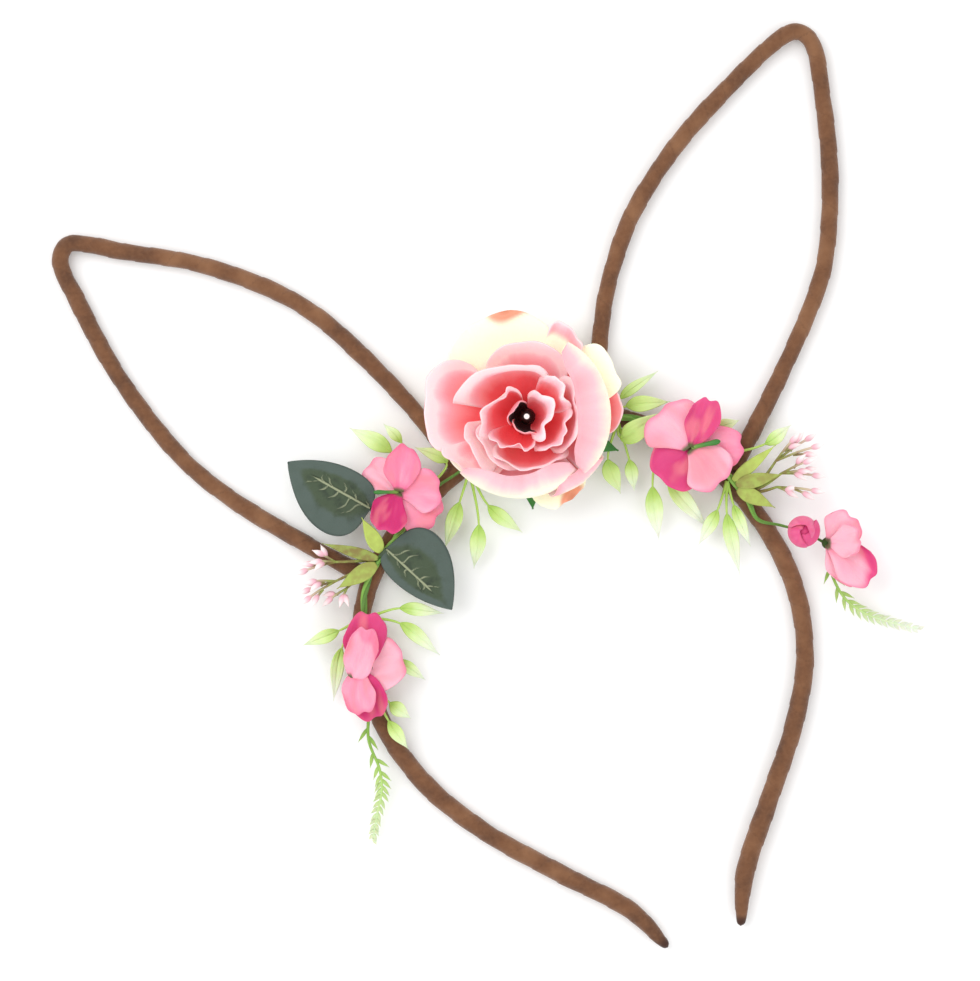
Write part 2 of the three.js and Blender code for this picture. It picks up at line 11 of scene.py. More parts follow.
import bpy
import numpy as np
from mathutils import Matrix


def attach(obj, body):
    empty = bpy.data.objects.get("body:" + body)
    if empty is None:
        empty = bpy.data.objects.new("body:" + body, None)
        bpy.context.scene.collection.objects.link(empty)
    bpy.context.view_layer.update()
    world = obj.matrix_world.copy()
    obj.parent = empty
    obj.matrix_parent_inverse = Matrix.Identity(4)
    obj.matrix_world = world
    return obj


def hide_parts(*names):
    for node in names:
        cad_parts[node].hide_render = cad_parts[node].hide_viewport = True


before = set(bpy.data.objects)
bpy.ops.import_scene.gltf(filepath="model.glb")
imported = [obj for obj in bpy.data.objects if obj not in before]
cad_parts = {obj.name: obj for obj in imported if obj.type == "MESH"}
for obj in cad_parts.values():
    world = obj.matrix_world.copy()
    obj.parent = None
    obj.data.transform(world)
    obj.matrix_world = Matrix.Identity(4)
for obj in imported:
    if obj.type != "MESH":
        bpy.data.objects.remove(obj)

LOG = logging.getLogger("headband")
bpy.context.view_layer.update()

Array = np.ndarray
Surface = Callable[[Array, Array], Array]
Flat = tuple[float, float]
Point = tuple[float, float, float]
Material = bpy.types.Material

# All tables and meshes are in millimetres; a finished mesh is scaled to the frame's metres.
METRES = 0.001
BAND_WIDTH = 5.5
EAR_WIDTH = 5.0
STEM_WIDTH = 2.2
TWIG_WIDTH = 1.2
CLEARANCE = 0.3
CALYX_Z = BAND_WIDTH + CLEARANCE
STEM_Z = CALYX_Z + STEM_WIDTH / 2
FLOWER_Z = STEM_Z + STEM_WIDTH / 2 + CLEARANCE
TUBE_HEIGHT = 2.0
SEAT = 1.3
UP = np.array((0.0, 0.0, 1.0))


class Side(Enum):
    """Side of the band that a spray or sprig leaves the stem on."""

    OUTER = 1.0
    INNER = -1.0


def smooth(value: Array, low: float, high: float) -> Array:
    """Ramp from 0 at low to 1 at high without corners."""
    share = np.clip((value - low) / (high - low), 0, 1)
    return share * share * (3 - 2 * share)


def unit(vectors: Array) -> Array:
    """Vectors scaled to length one."""
    return vectors / np.maximum(np.linalg.norm(vectors, axis=-1, keepdims=True), 1e-12)


def stacked(*parts: Array) -> Array:
    """Coordinates gathered into points along a new last axis."""
    return np.stack(np.broadcast_arrays(*parts), axis=-1)


def bezier(t: Array, a: float, b: float, c: float, d: float) -> Array:
    """Curve from a to d that is drawn towards b and c."""
    return a * (1 - t) ** 3 + 3 * b * (1 - t) ** 2 * t + 3 * c * (1 - t) * t ** 2 + d * t ** 3


class Outline(NamedTuple):
    """Outline of a leaf: its least width, blunt base, place of the widest and sharpness of the tip."""

    least: float
    blunt: float
    power: float
    sharpness: float = 1.0

    def at(self, v: Array) -> Array:
        """Width from base to tip, as a share of the widest."""
        swell = np.sin(math.pi * np.minimum(v + self.blunt, 1) ** self.power)
        return np.maximum(self.least, swell ** self.sharpness)


def ridge(place: Array, width: float) -> Array:
    """Rounded ridge of height one along the place 0."""
    return np.exp(-(place / width) ** 2)


def colour(code: str) -> tuple[float, float, float, float]:
    """Linear colour for a screen colour.

    Args:
        code: Hex code with a leading hash.

    Returns:
        Red, green and blue, with full cover.
    """
    shares = [int(code[i:i + 2], 16) / 255 for i in (1, 3, 5)]
    linear = [c / 12.92 if c <= 0.04045 else ((c + 0.055) / 1.055) ** 2.4 for c in shares]
    return (*linear, 1.0)


class Spline:
    """A smooth curve through given points."""

    fine_steps = 120
    nudge = 1e-4

    def __init__(self, rows: Sequence[Sequence[float]]) -> None:
        """Keep the rows, with one more beyond each end.

        Args:
            rows: Points in order, in two or three dimensions.
        """
        inner = np.array(rows, dtype=float)
        first = 2 * inner[:1] - inner[1:2]
        last = 2 * inner[-1:] - inner[-2:-1]
        self.points = np.vstack([first, inner, last])
        self.spans = len(inner) - 1

    def at(self, share: Array) -> Array:
        """Points of the curve.

        Args:
            share: Places from 0 to 1, even in the rows' own numbering.

        Returns:
            One point for each place.
        """
        place = np.clip(np.asarray(share, dtype=float), 0, 1) * self.spans
        row = np.minimum(place.astype(int), self.spans - 1)
        f = (place - row)[..., None]
        a, b, c, d = (self.points[row + k] for k in range(4))
        gap_a, gap_b, gap_c = (np.sqrt(np.linalg.norm(q - p, axis=-1, keepdims=True))
                               for p, q in ((a, b), (b, c), (c, d)))
        leave = ((b - a) / gap_a - (c - a) / (gap_a + gap_b) + (c - b) / gap_b) * gap_b
        arrive = ((c - b) / gap_b - (d - b) / (gap_b + gap_c) + (d - c) / gap_c) * gap_b
        square = -3 * b + 3 * c - 2 * leave - arrive
        cube = 2 * b - 2 * c + leave + arrive
        return b + leave * f + square * f ** 2 + cube * f ** 3

    def heading(self, share: Array) -> Array:
        """Direction of the curve at each place."""
        share = np.clip(np.asarray(share, dtype=float), self.nudge, 1 - self.nudge)
        return unit(self.at(share + self.nudge) - self.at(share - self.nudge))

    def even(self, step: float) -> tuple[Array, Array]:
        """Places that are evenly spaced along the curve.

        Args:
            step: Wanted distance between two places.

        Returns:
            The places, and their distances from the start.
        """
        fine = np.linspace(0, 1, self.fine_steps * self.spans)
        lengths = np.linalg.norm(np.diff(self.at(fine), axis=0), axis=1)
        run = np.concatenate([[0], np.cumsum(lengths)])
        distance = np.linspace(0, run[-1], max(3, round(run[-1] / step) + 1))
        return np.interp(distance, run, fine), distance


@dataclass
class Shell:
    """Closed skins of one piece, with named values at their points."""

    points: list[Array] = field(default_factory=list)
    faces: list[tuple[int, ...]] = field(default_factory=list)
    values: list[dict[str, Array]] = field(default_factory=list)
    count: int = 0
    edge_powers: tuple[int, int] = (12, 16)
    edge_thinning: float = 0.6

    def add(self, points: Array, faces: Sequence[Sequence[int]], values: dict[str, Array]) -> None:
        """Add one closed skin.

        Args:
            points: Corner points.
            faces: Corner numbers of each face, counted in this skin.
            values: Named values, one for each point.
        """
        self.faces.extend(tuple(corner + self.count for corner in face) for face in faces)
        self.points.append(points)
        self.values.append({name: np.broadcast_to(v, len(points)) for name, v in values.items()})
        self.count += len(points)

    def sheet(self, surface: Surface, steps: tuple[int, int], thickness: float,
              **values: float) -> dict[str, Array]:
        """Add a blade of cloth about a surface, thinner towards its free edges.

        Args:
            surface: Gives points for u across, from -1 to 1, and v from base 0 to tip 1.
            steps: Number of steps across and along.
            thickness: Thickness at the middle.
            values: Values that hold for the whole blade.

        Returns:
            The values at the blade's points.
        """
        across, along = steps
        u, v = np.meshgrid(np.linspace(-1, 1, across + 1), np.linspace(0, 1, along + 1))
        middle = surface(u, v)
        front = unit(np.cross(np.gradient(middle, axis=0), np.gradient(middle, axis=1)))
        edge = np.maximum(np.abs(u) ** self.edge_powers[0], v ** self.edge_powers[1])
        offset = front * (thickness / 2 * (1 - self.edge_thinning * edge))[..., None]
        points = np.concatenate([(middle + offset).reshape(-1, 3), (middle - offset).reshape(-1, 3)])
        row = across + 1
        size = row * (along + 1)
        faces = []
        for j in range(along):
            for i in range(across):
                a = j * row + i
                faces.append((a, a + row, a + row + 1, a + 1))
                faces.append((size + a, size + a + 1, size + a + row + 1, size + a + row))
        rim = [*range(across), *range(across, size - 1, row), *range(size - 1, size - row, -1),
               *range(size - row, 0, -row)]
        for a, b in zip(rim, rim[1:] + rim[:1]):
            faces.append((a, b, size + b, size + a))
        spread = {"along": np.tile(v.ravel(), 2), "across": np.tile(u.ravel(), 2)}
        self.add(points, faces, {**spread, "inside": np.repeat((1.0, 0.0), size), **values})
        return self.values[-1]

    def tube(self, centres: Array, radii: Array, sides: int, **values: Array) -> None:
        """Add a round bar through centres, closed at both ends.

        Radii and values hold for the whole bar, for each point, or for each point and side.

        Args:
            centres: Points of the middle line.
            radii: Radius.
            sides: Number of sides.
            values: Named values.
        """
        steps = len(centres)

        def spread(value: Array) -> Array:
            """Value for each point and side."""
            value = np.asarray(value, dtype=float)
            return np.broadcast_to(value[:, None] if value.shape == (steps,) else value, (steps, sides))

        heading = unit(np.gradient(centres, axis=0))
        across = np.cross(UP, heading)
        flat = np.linalg.norm(across, axis=-1, keepdims=True) > 1e-3
        across = unit(np.where(flat, across, (1.0, 0.0, 0.0)))
        up = np.cross(heading, across)
        angle = np.arange(sides)[:, None] * 2 * math.pi / sides
        ring = across[:, None] * np.cos(angle) + up[:, None] * np.sin(angle)
        points = centres[:, None] + ring * spread(radii)[..., None]
        start, end, last = steps * sides, steps * sides + 1, (steps - 1) * sides
        faces = []
        for i in range(sides):
            after = (i + 1) % sides
            faces.append((start, after, i))
            faces.append((end, last + i, last + after))
            faces.extend((j + i, j + after, j + after + sides, j + i + sides) for j in range(0, last, sides))
        points = np.concatenate([points.reshape(-1, 3), centres[:1], centres[-1:]])
        full = {"along": np.linspace(0, 1, steps), "across": 0.0, "inside": 1.0, **values}
        grids = {name: spread(value) for name, value in full.items()}
        self.add(points, faces, {name: np.concatenate([grid.ravel(), grid[0, :1], grid[-1, :1]])
                                 for name, grid in grids.items()})

    def piece(self, node: str, part: str, slot: str, material: Material) -> None:
        """Make the piece that stands for a node of the frame.

        Args:
            node: Node that it stands for.
            part: What the piece is of that node.
            slot: Material slot of that node; not used.
            material: Finish.
        """
        name = f"{node}_{part}"
        mesh = bpy.data.meshes.new(name)
        mesh.from_pydata((np.concatenate(self.points) * METRES).tolist(), [], self.faces)
        for key in sorted({key for values in self.values for key in values}):
            parts = [v.get(key, np.zeros(len(p))) for v, p in zip(self.values, self.points)]
            mesh.attributes.new(key, "FLOAT", "POINT").data.foreach_set("value", np.concatenate(parts))
        mesh.shade_smooth()
        mesh.materials.append(material)
        mesh.update()
        piece = bpy.data.objects.new(name, mesh)
        bpy.context.scene.collection.objects.link(piece)
        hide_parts(node)
        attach(piece, "root")
        LOG.info("%s: %d faces", name, len(mesh.polygons))


@dataclass
class Blade:
    """A slim leaf along its middle line, arched, cupped and creased."""

    line: Spline
    width: float
    outline: Outline
    start: float = 0.0
    arch: float = 0.0
    upturn: float = 0.0
    cup: float = 0.0
    crease: float = 0.0
    crease_width: float = 0.13

    def surface(self, u: Array, v: Array) -> Array:
        """Points of the leaf.

        Args:
            u: Places across.
            v: Places from base to tip.

        Returns:
            The points.
        """
        share = self.start + (1 - self.start) * v
        heading = self.line.heading(share)
        x, y = unit(stacked(-heading[..., 1], heading[..., 0])).transpose(2, 0, 1)
        outline = self.outline.at(v)
        half = u * self.width / 2 * outline
        height = self.arch * np.sin(math.pi * v) + self.upturn * v * v + self.cup * half ** 2
        height = height - self.crease * ridge(u, self.crease_width) * outline
        return self.line.at(share) + stacked(x * half, y * half, height)


Number = Union["Value", float]


class Value:
    """A shader socket whose operators add Math nodes."""

    def __init__(self, graph: "Graph", socket: bpy.types.NodeSocket) -> None:
        """Wrap a socket of a graph."""
        self.graph = graph
        self.socket = socket

    def _math(self, operation: str, first: Number, second: Number) -> "Value":
        """Result of one Math node."""
        return self.graph.add("ShaderNodeMath", {"operation": operation}, {0: first, 1: second})

    def __add__(self, other: Number) -> "Value":
        """Sum with a value or number."""
        return self._math("ADD", self, other)

    def __radd__(self, other: Number) -> "Value":
        """Sum with a number on the left."""
        return self._math("ADD", other, self)

    def __sub__(self, other: Number) -> "Value":
        """Difference from a value or number."""
        return self._math("SUBTRACT", self, other)

    def __rsub__(self, other: Number) -> "Value":
        """Difference of a number and this value."""
        return self._math("SUBTRACT", other, self)

    def __mul__(self, other: Number) -> "Value":
        """Product with a value or number."""
        return self._math("MULTIPLY", self, other)

    def __rmul__(self, other: Number) -> "Value":
        """Product with a number on the left."""
        return self._math("MULTIPLY", other, self)

    def band(self, low: float, high: float) -> "Value":
        """Ramp from 0 at low to 1 at high, held beyond both."""
        sockets = {"Value": self, "From Min": low, "From Max": high}
        return self.graph.add("ShaderNodeMapRange", {"interpolation_type": "SMOOTHSTEP"}, sockets)


Link = Union[Value, float, str]


class Graph:
    """Node tree of one finish."""

    def __init__(self, name: str) -> None:
        """Start a material with one shader.

        Args:
            name: Name of the material.
        """
        self.material = bpy.data.materials.new(name)
        self.material.use_nodes = True
        self.nodes = self.material.node_tree.nodes
        self.shader = self.nodes["Principled BSDF"]

    def add(self, kind: str, settings: dict[str, object], sockets: dict[Union[str, int], Link],
            output: Union[str, int] = 0) -> Value:
        """Add one node.

        Args:
            kind: Node type.
            settings: Properties that are set before the sockets; stops are those of a ramp.
            sockets: Values or links of the node's inputs.
            output: Output to hand back.

        Returns:
            The chosen output.
        """
        node = self.nodes.new(kind)
        for name, setting in settings.items():
            if name == "stops":
                self._set_stops(node.color_ramp, setting)
            else:
                setattr(node, name, setting)
        for name, value in sockets.items():
            self.feed(node.inputs[name], value)
        return Value(self, node.outputs[output])

    @staticmethod
    def _set_stops(ramp: bpy.types.ColorRamp, stops: Sequence[tuple[float, str]]) -> None:
        """Give a ramp its colours.

        Args:
            ramp: Ramp of a node.
            stops: Places with their hex colours.
        """
        while len(ramp.elements) < len(stops):
            ramp.elements.new(1.0)
        for element, (place, code) in zip(ramp.elements, stops):
            element.position = place
            element.color = colour(code)

    def feed(self, socket: bpy.types.NodeSocket, value: Link) -> None:
        """Link or set one input.

        Args:
            socket: Input of a node.
            value: Value to link, or a number or hex colour to set.
        """
        if isinstance(value, Value):
            self.material.node_tree.links.new(value.socket, socket)
        else:
            socket.default_value = colour(value) if isinstance(value, str) else value

    def attribute(self, name: str) -> Value:
        """Named value of the mesh."""
        return self.add("ShaderNodeAttribute", {"attribute_name": name}, {}, "Fac")

    def noise(self, where: Value, scale: float, detail: float) -> Value:
        """Soft random value about 0.5."""
        return self.add("ShaderNodeTexNoise", {}, {"Vector": where, "Scale": scale, "Detail": detail})

    def grain(self, scale: float, detail: float = 2.0) -> Value:
        """Random value that is even in all directions, with so many patches a metre."""
        return self.noise(self.add("ShaderNodeTexCoord", {}, {}, "Object"), scale, detail)

    def streak(self, across: float, along: float, detail: float = 2.0) -> Value:
        """Random value with so many patches across and along each blade."""
        x, y, z = self.attribute("across") * across, self.attribute("along") * along, self.attribute("seed")
        return self.noise(self.add("ShaderNodeCombineXYZ", {}, {"X": x, "Y": y, "Z": z}), 1.0, detail)

    def ramp(self, value: Value, *stops: tuple[float, str]) -> Value:
        """Colour along a row of stops."""
        return self.add("ShaderNodeValToRGB", {"stops": stops}, {"Fac": value})

    def mix(self, share: Number, first: Link, second: Link, blend: str = "MIX") -> Value:
        """Colour between two colours."""
        settings = {"data_type": "RGBA", "blend_type": blend}
        return self.add("ShaderNodeMix", settings, {"Factor": share, 6: first, 7: second}, 2)

    def tint(self, share: Number, first: Link, second: Link) -> Value:
        """First colour multiplied by a second one."""
        return self.mix(share, first, second, "MULTIPLY")

    def bump(self, height: Value, depth: float) -> None:
        """Feed the shader's normal with a relief of some depth in metres."""
        relief = self.add("ShaderNodeBump", {}, {"Height": height, "Distance": depth, "Strength": 1.0})
        self.feed(self.shader.inputs["Normal"], relief)

    def finish(self, base: Link, roughness: Link, **others: Link) -> Material:
        """Feed the shader and hand back its material.

        Args:
            base: Colour.
            roughness: Roughness.
            others: Other shader inputs, with _ for each space.

        Returns:
            The finished material.
        """
        for name, value in {"Base Color": base, "Roughness": roughness, **others}.items():
            self.feed(self.shader.inputs[name.replace("_", " ")], value)
        return self.material


PETAL_SHEEN = {"Sheen_Weight": 0.2, "Sheen_Roughness": 0.4, "Specular_IOR_Level": 0.25}
PETAL_GLOW = {"Subsurface_Weight": 0.12, "Subsurface_Scale": 0.0015}


@dataclass(frozen=True)
class RibbonFinish:
    """Brown velour ribbon wound over the wire."""

    middle: str = "#724c33"
    light: str = "#886043"
    dark: str = "#5b3c2a"
    tip: str = "#43291f"

    @cache
    def material(self) -> Material:
        """Matt brown with patches, nap and painted shade in the step where each turn laps the next.

        Returns:
            The finish of the band and the ears.
        """
        graph = Graph("ribbon_velour")
        patches = graph.grain(95.0, 3.0)
        nap = graph.grain(900.0, 4.0)
        cloth = graph.ramp(patches, (0.3, self.dark), (0.5, self.middle), (0.72, self.light))
        # Painted shade in the step where each turn of the ribbon drops under the next
        cloth = graph.mix(graph.attribute("turn").band(0.86, 1.0) * 0.45, cloth, self.dark)
        cloth = graph.mix((nap - 0.5) * 0.9 + 0.08, cloth, self.light)
        cloth = graph.mix(graph.attribute("end").band(0.2, 0.9), cloth, self.tip)
        graph.bump(nap * 0.7 + patches * 0.3, 0.0005)
        return graph.finish(cloth, 0.9 - nap * 0.15, Sheen_Weight=0.25, Sheen_Roughness=0.5,
                            Specular_IOR_Level=0.2)


@dataclass(frozen=True)
class RoseFinish:
    """Dyed rose cloth: red in the throat, paler to the rim, cream behind, with painted near-black shade at
    the very foot.
    """

    painted_throat_shade: str = "#2c0a0c"
    throat: str = "#e23b42"
    red: str = "#ea5c62"
    coral: str = "#f18f94"
    pink: str = "#f3a5af"
    pale: str = "#f5c1c9"
    rim: str = "#fbdcdf"
    cream: str = "#fefae2"
    leaf: str = "#e9efd0"
    lip: str = "#ec9f83"
    lip_edge: str = "#b06a4b"

    @cache
    def material(self) -> Material:
        """Cloth that is dyed from the foot to the rim, with painted near-black shade at the foot and a faint
        painted glow.

        Returns:
            The finish of all rose petals.
        """
        graph = Graph("rose_cloth")
        along = graph.attribute("along")
        across = graph.attribute("across")
        bleach = graph.attribute("bleach")
        cream = graph.attribute("cream")
        lip = graph.attribute("lip")
        streak = graph.streak(5.0, 1.4)
        blot = graph.streak(1.7, 1.2, 1.0)
        weave = graph.grain(2400.0)
        square = across * across
        # Each petal's shift of the dye; lowered far, as on the innermost petals, it reaches the painted
        # throat shade
        dye = along + bleach + (streak - 0.5) * 0.12 + (blot - 0.5) * 0.3 + square * square * square * 0.25
        # The first stop, near black, is painted shade deep in the rose's throat; the stops after it are the
        # cloth's dye
        front = graph.ramp(dye, (0.0, self.painted_throat_shade), (0.08, self.throat), (0.45, self.red), (0.65, self.coral),
                           (0.8, self.pink), (0.92, self.pale), (1.0, self.rim))
        front = graph.mix(along.band(0.955, 0.99) * 0.75, front, self.rim)
        fade = along + (streak - 0.5) * 0.12 + (blot - 0.5) * 0.2 - bleach * 0.3 + 0.09
        back = graph.ramp(fade, (0.1, self.leaf), (0.66, self.cream), (0.84, self.pale), (1.0, self.pink))
        creamy = graph.ramp(along, (0.0, self.leaf), (0.3, self.pale), (0.55, self.cream))
        cloth = graph.mix(graph.attribute("inside"), back, front)
        cloth = graph.mix(cream, cloth, creamy)
        cloth = graph.mix(lip.band(0.0, 0.7), cloth, self.lip)
        cloth = graph.mix(lip.band(0.8, 1.0) * 0.5, cloth, self.lip_edge)
        graph.bump(weave * 0.5 + streak, 0.0002)
        # The faint emission is painted light: it lifts the petals' shaded parts, standing in for light
        # through the thin cloth
        return graph.finish(cloth, 0.72 + weave * 0.15, **PETAL_SHEEN, **PETAL_GLOW, Emission_Color=cloth,
                            Emission_Strength=0.08)


@dataclass(frozen=True)
class BlossomFinish:
    """Light pink cloth that runs into magenta."""

    pale: str = "#f8b7c7"
    pink: str = "#f28fac"
    rose: str = "#df5588"
    deep: str = "#c7306f"
    salmon: str = "#f7989a"
    # Green of the tube, also used as painted shade at the feet of the petals
    green: str = "#3f5f2c"

    @cache
    def material(self) -> Material:
        """Cloth whose depth of dye comes from each petal.

        Returns:
            The finish of the small blossoms and the bud.
        """
        graph = Graph("blossom_cloth")
        along = graph.attribute("along")
        streak = graph.streak(4.0, 1.5)
        blot = graph.streak(1.3, 1.3, 1.0)
        weave = graph.grain(2400.0)
        throat = 1.0 - along.band(0.0, 0.3)
        dye = graph.attribute("tone") + (streak - 0.5) * 0.15 + (blot - 0.5) * 0.5 + throat * 0.2
        cloth = graph.ramp(dye, (0.05, self.pale), (0.35, self.pink), (0.62, self.rose), (0.95, self.deep))
        cloth = graph.mix(blot.band(0.48, 0.72) * 0.45, cloth, self.salmon)
        cloth = graph.mix(along.band(0.86, 1.0) * 0.45, cloth, self.rose)
        # Dark green at the feet of the petals is painted shade in the throat
        green = graph.attribute("green") + (1.0 - along.band(0.03, 0.13)) * 0.9
        cloth = graph.mix(green, cloth, self.green)
        graph.bump(weave * 0.5 + streak, 0.0002)
        return graph.finish(cloth, 0.7 + weave * 0.15, **PETAL_SHEEN, **PETAL_GLOW)


@dataclass(frozen=True)
class DarkLeafFinish:
    """Slate-green leaf cloth with pale pressed veins."""

    margin: str = "#4e5c55"
    blade: str = "#414f3a"
    shade: str = "#27322a"
    vein: str = "#9fa585"
    edge: str = "#2f3a38"
    back: str = "#75866f"
    bloom: str = "#c9d2bf"

    @cache
    def material(self) -> Material:
        """Olive in the middle, slate at the margin, pale on the veins.

        Returns:
            The finish of the two dark leaves.
        """
        graph = Graph("dark_leaf_cloth")
        mottle = graph.grain(260.0, 4.0)
        weave = graph.grain(1900.0)
        middle = graph.attribute("middle")
        vein = graph.attribute("vein")
        cloth = graph.mix((middle + (mottle - 0.5) * 0.7).band(0.2, 0.75), self.margin, self.blade)
        cloth = graph.mix(middle * (mottle.band(0.5, 0.7) * 0.7), cloth, self.shade)
        cloth = graph.mix((vein + (mottle - 0.5) * 0.6).band(0.3, 0.8), cloth, self.vein)
        cloth = graph.mix(graph.attribute("edge") * 0.7, cloth, self.edge)
        cloth = graph.mix(graph.attribute("inside"), self.back, cloth)
        cloth = graph.tint((mottle - 0.4) * 0.5, cloth, self.bloom)
        graph.bump(weave * 0.6 + mottle * 0.8, 0.00025)
        return graph.finish(cloth, 0.5 + mottle * 0.2, Specular_IOR_Level=0.35)


@dataclass(frozen=True)
class GreenFinish:
    """Moulded greenery that fades along its length."""

    name: str
    deep: str
    middle: str
    tip: str
    faded: str
    grain: str = "#d9e3b4"

    @cache
    def material(self) -> Material:
        """Satin green, deeper at the foot and paler at the tip.

        Returns:
            The finish of a kind of greenery.
        """
        graph = Graph(self.name)
        mottle = graph.grain(320.0, 3.0)
        grain = graph.streak(8.0, 2.0)
        run = graph.attribute("along") + (mottle - 0.5) * 0.25
        cloth = graph.ramp(run, (0.05, self.deep), (0.45, self.middle), (1.0, self.tip))
        cloth = graph.mix(graph.attribute("fade") * run.band(0.1, 0.95), cloth, self.faded)
        cloth = graph.tint((grain - 0.4) * 0.6, cloth, self.grain)
        graph.bump(mottle * 0.6 + grain, 0.0002)
        return graph.finish(cloth, 0.42 + mottle * 0.2, Specular_IOR_Level=0.4, Subsurface_Weight=0.1,
                            Subsurface_Scale=0.001)


STEM_FINISH = GreenFinish("stem_green", "#4b6f2b", "#6b9c3d", "#8cba54", "#a9cf6a")
SPRAY_FINISH = GreenFinish("spray_green", "#a6ca58", "#cde78d", "#e0f1b8", "#f4f7ee")
FERN_FINISH = GreenFinish("fern_green", "#6d9a35", "#aed266", "#d9ecaa", "#f3f7ea")
CALYX_FINISH = GreenFinish("calyx_green", "#7ba54a", "#438339", "#357a31", "#dfe8c0")


@dataclass(frozen=True)
class SprigFinish:
    """Ochre-green twigs with pale pink buds."""

    woody: str = "#7d6a3c"
    twig: str = "#8d9a4c"
    pale: str = "#dfc4b4"
    leaf: str = "#b9cf63"
    bud: str = "#e6aebd"
    tip: str = "#fbebea"

    @cache
    def material(self) -> Material:
        """Twig colour that turns into the bud's.

        Returns:
            The finish of the bud sprigs.
        """
        graph = Graph("sprig_buds")
        mottle = graph.grain(420.0, 3.0)
        twig = graph.mix(mottle.band(0.35, 0.65), self.woody, self.twig)
        twig = graph.mix(graph.attribute("faded").band(0.1, 0.8) * 0.8, twig, self.pale)
        bud = graph.mix(graph.attribute("along").band(0.2, 0.75), self.bud, self.tip)
        cloth = graph.mix(graph.attribute("bud"), twig, bud)
        cloth = graph.mix(graph.attribute("fresh") * (0.6 + mottle * 0.5), cloth, self.leaf)
        graph.bump(mottle, 0.0002)
        return graph.finish(cloth, 0.5 + mottle * 0.2, Specular_IOR_Level=0.35)


@dataclass(frozen=True)
class HeartFinish:
    """Dark glossy bead in the rose's throat."""

    dark: str = "#120706"
    brown: str = "#2b100d"
    painted_glint: str = "#fdf6f2"

    @cache
    def material(self) -> Material:
        """Nearly black brown with a wet gloss and a painted white glint at its top.

        Returns:
            The finish of the bead.
        """
        graph = Graph("heart_bead")
        mottle = graph.grain(700.0, 3.0)
        cloth = graph.mix(mottle.band(0.4, 0.75), self.dark, self.brown)
        # A painted white glint on the top of the bead
        cloth = graph.mix(graph.attribute("along").band(0.885, 0.925), cloth, self.painted_glint)
        graph.bump(mottle, 0.0002)
        return graph.finish(cloth, 0.3 + mottle * 0.1, Specular_IOR_Level=0.15)


class WireRow(NamedTuple):
    """Row of the band's middle line."""

    x: float
    y: float
    width: float = BAND_WIDTH


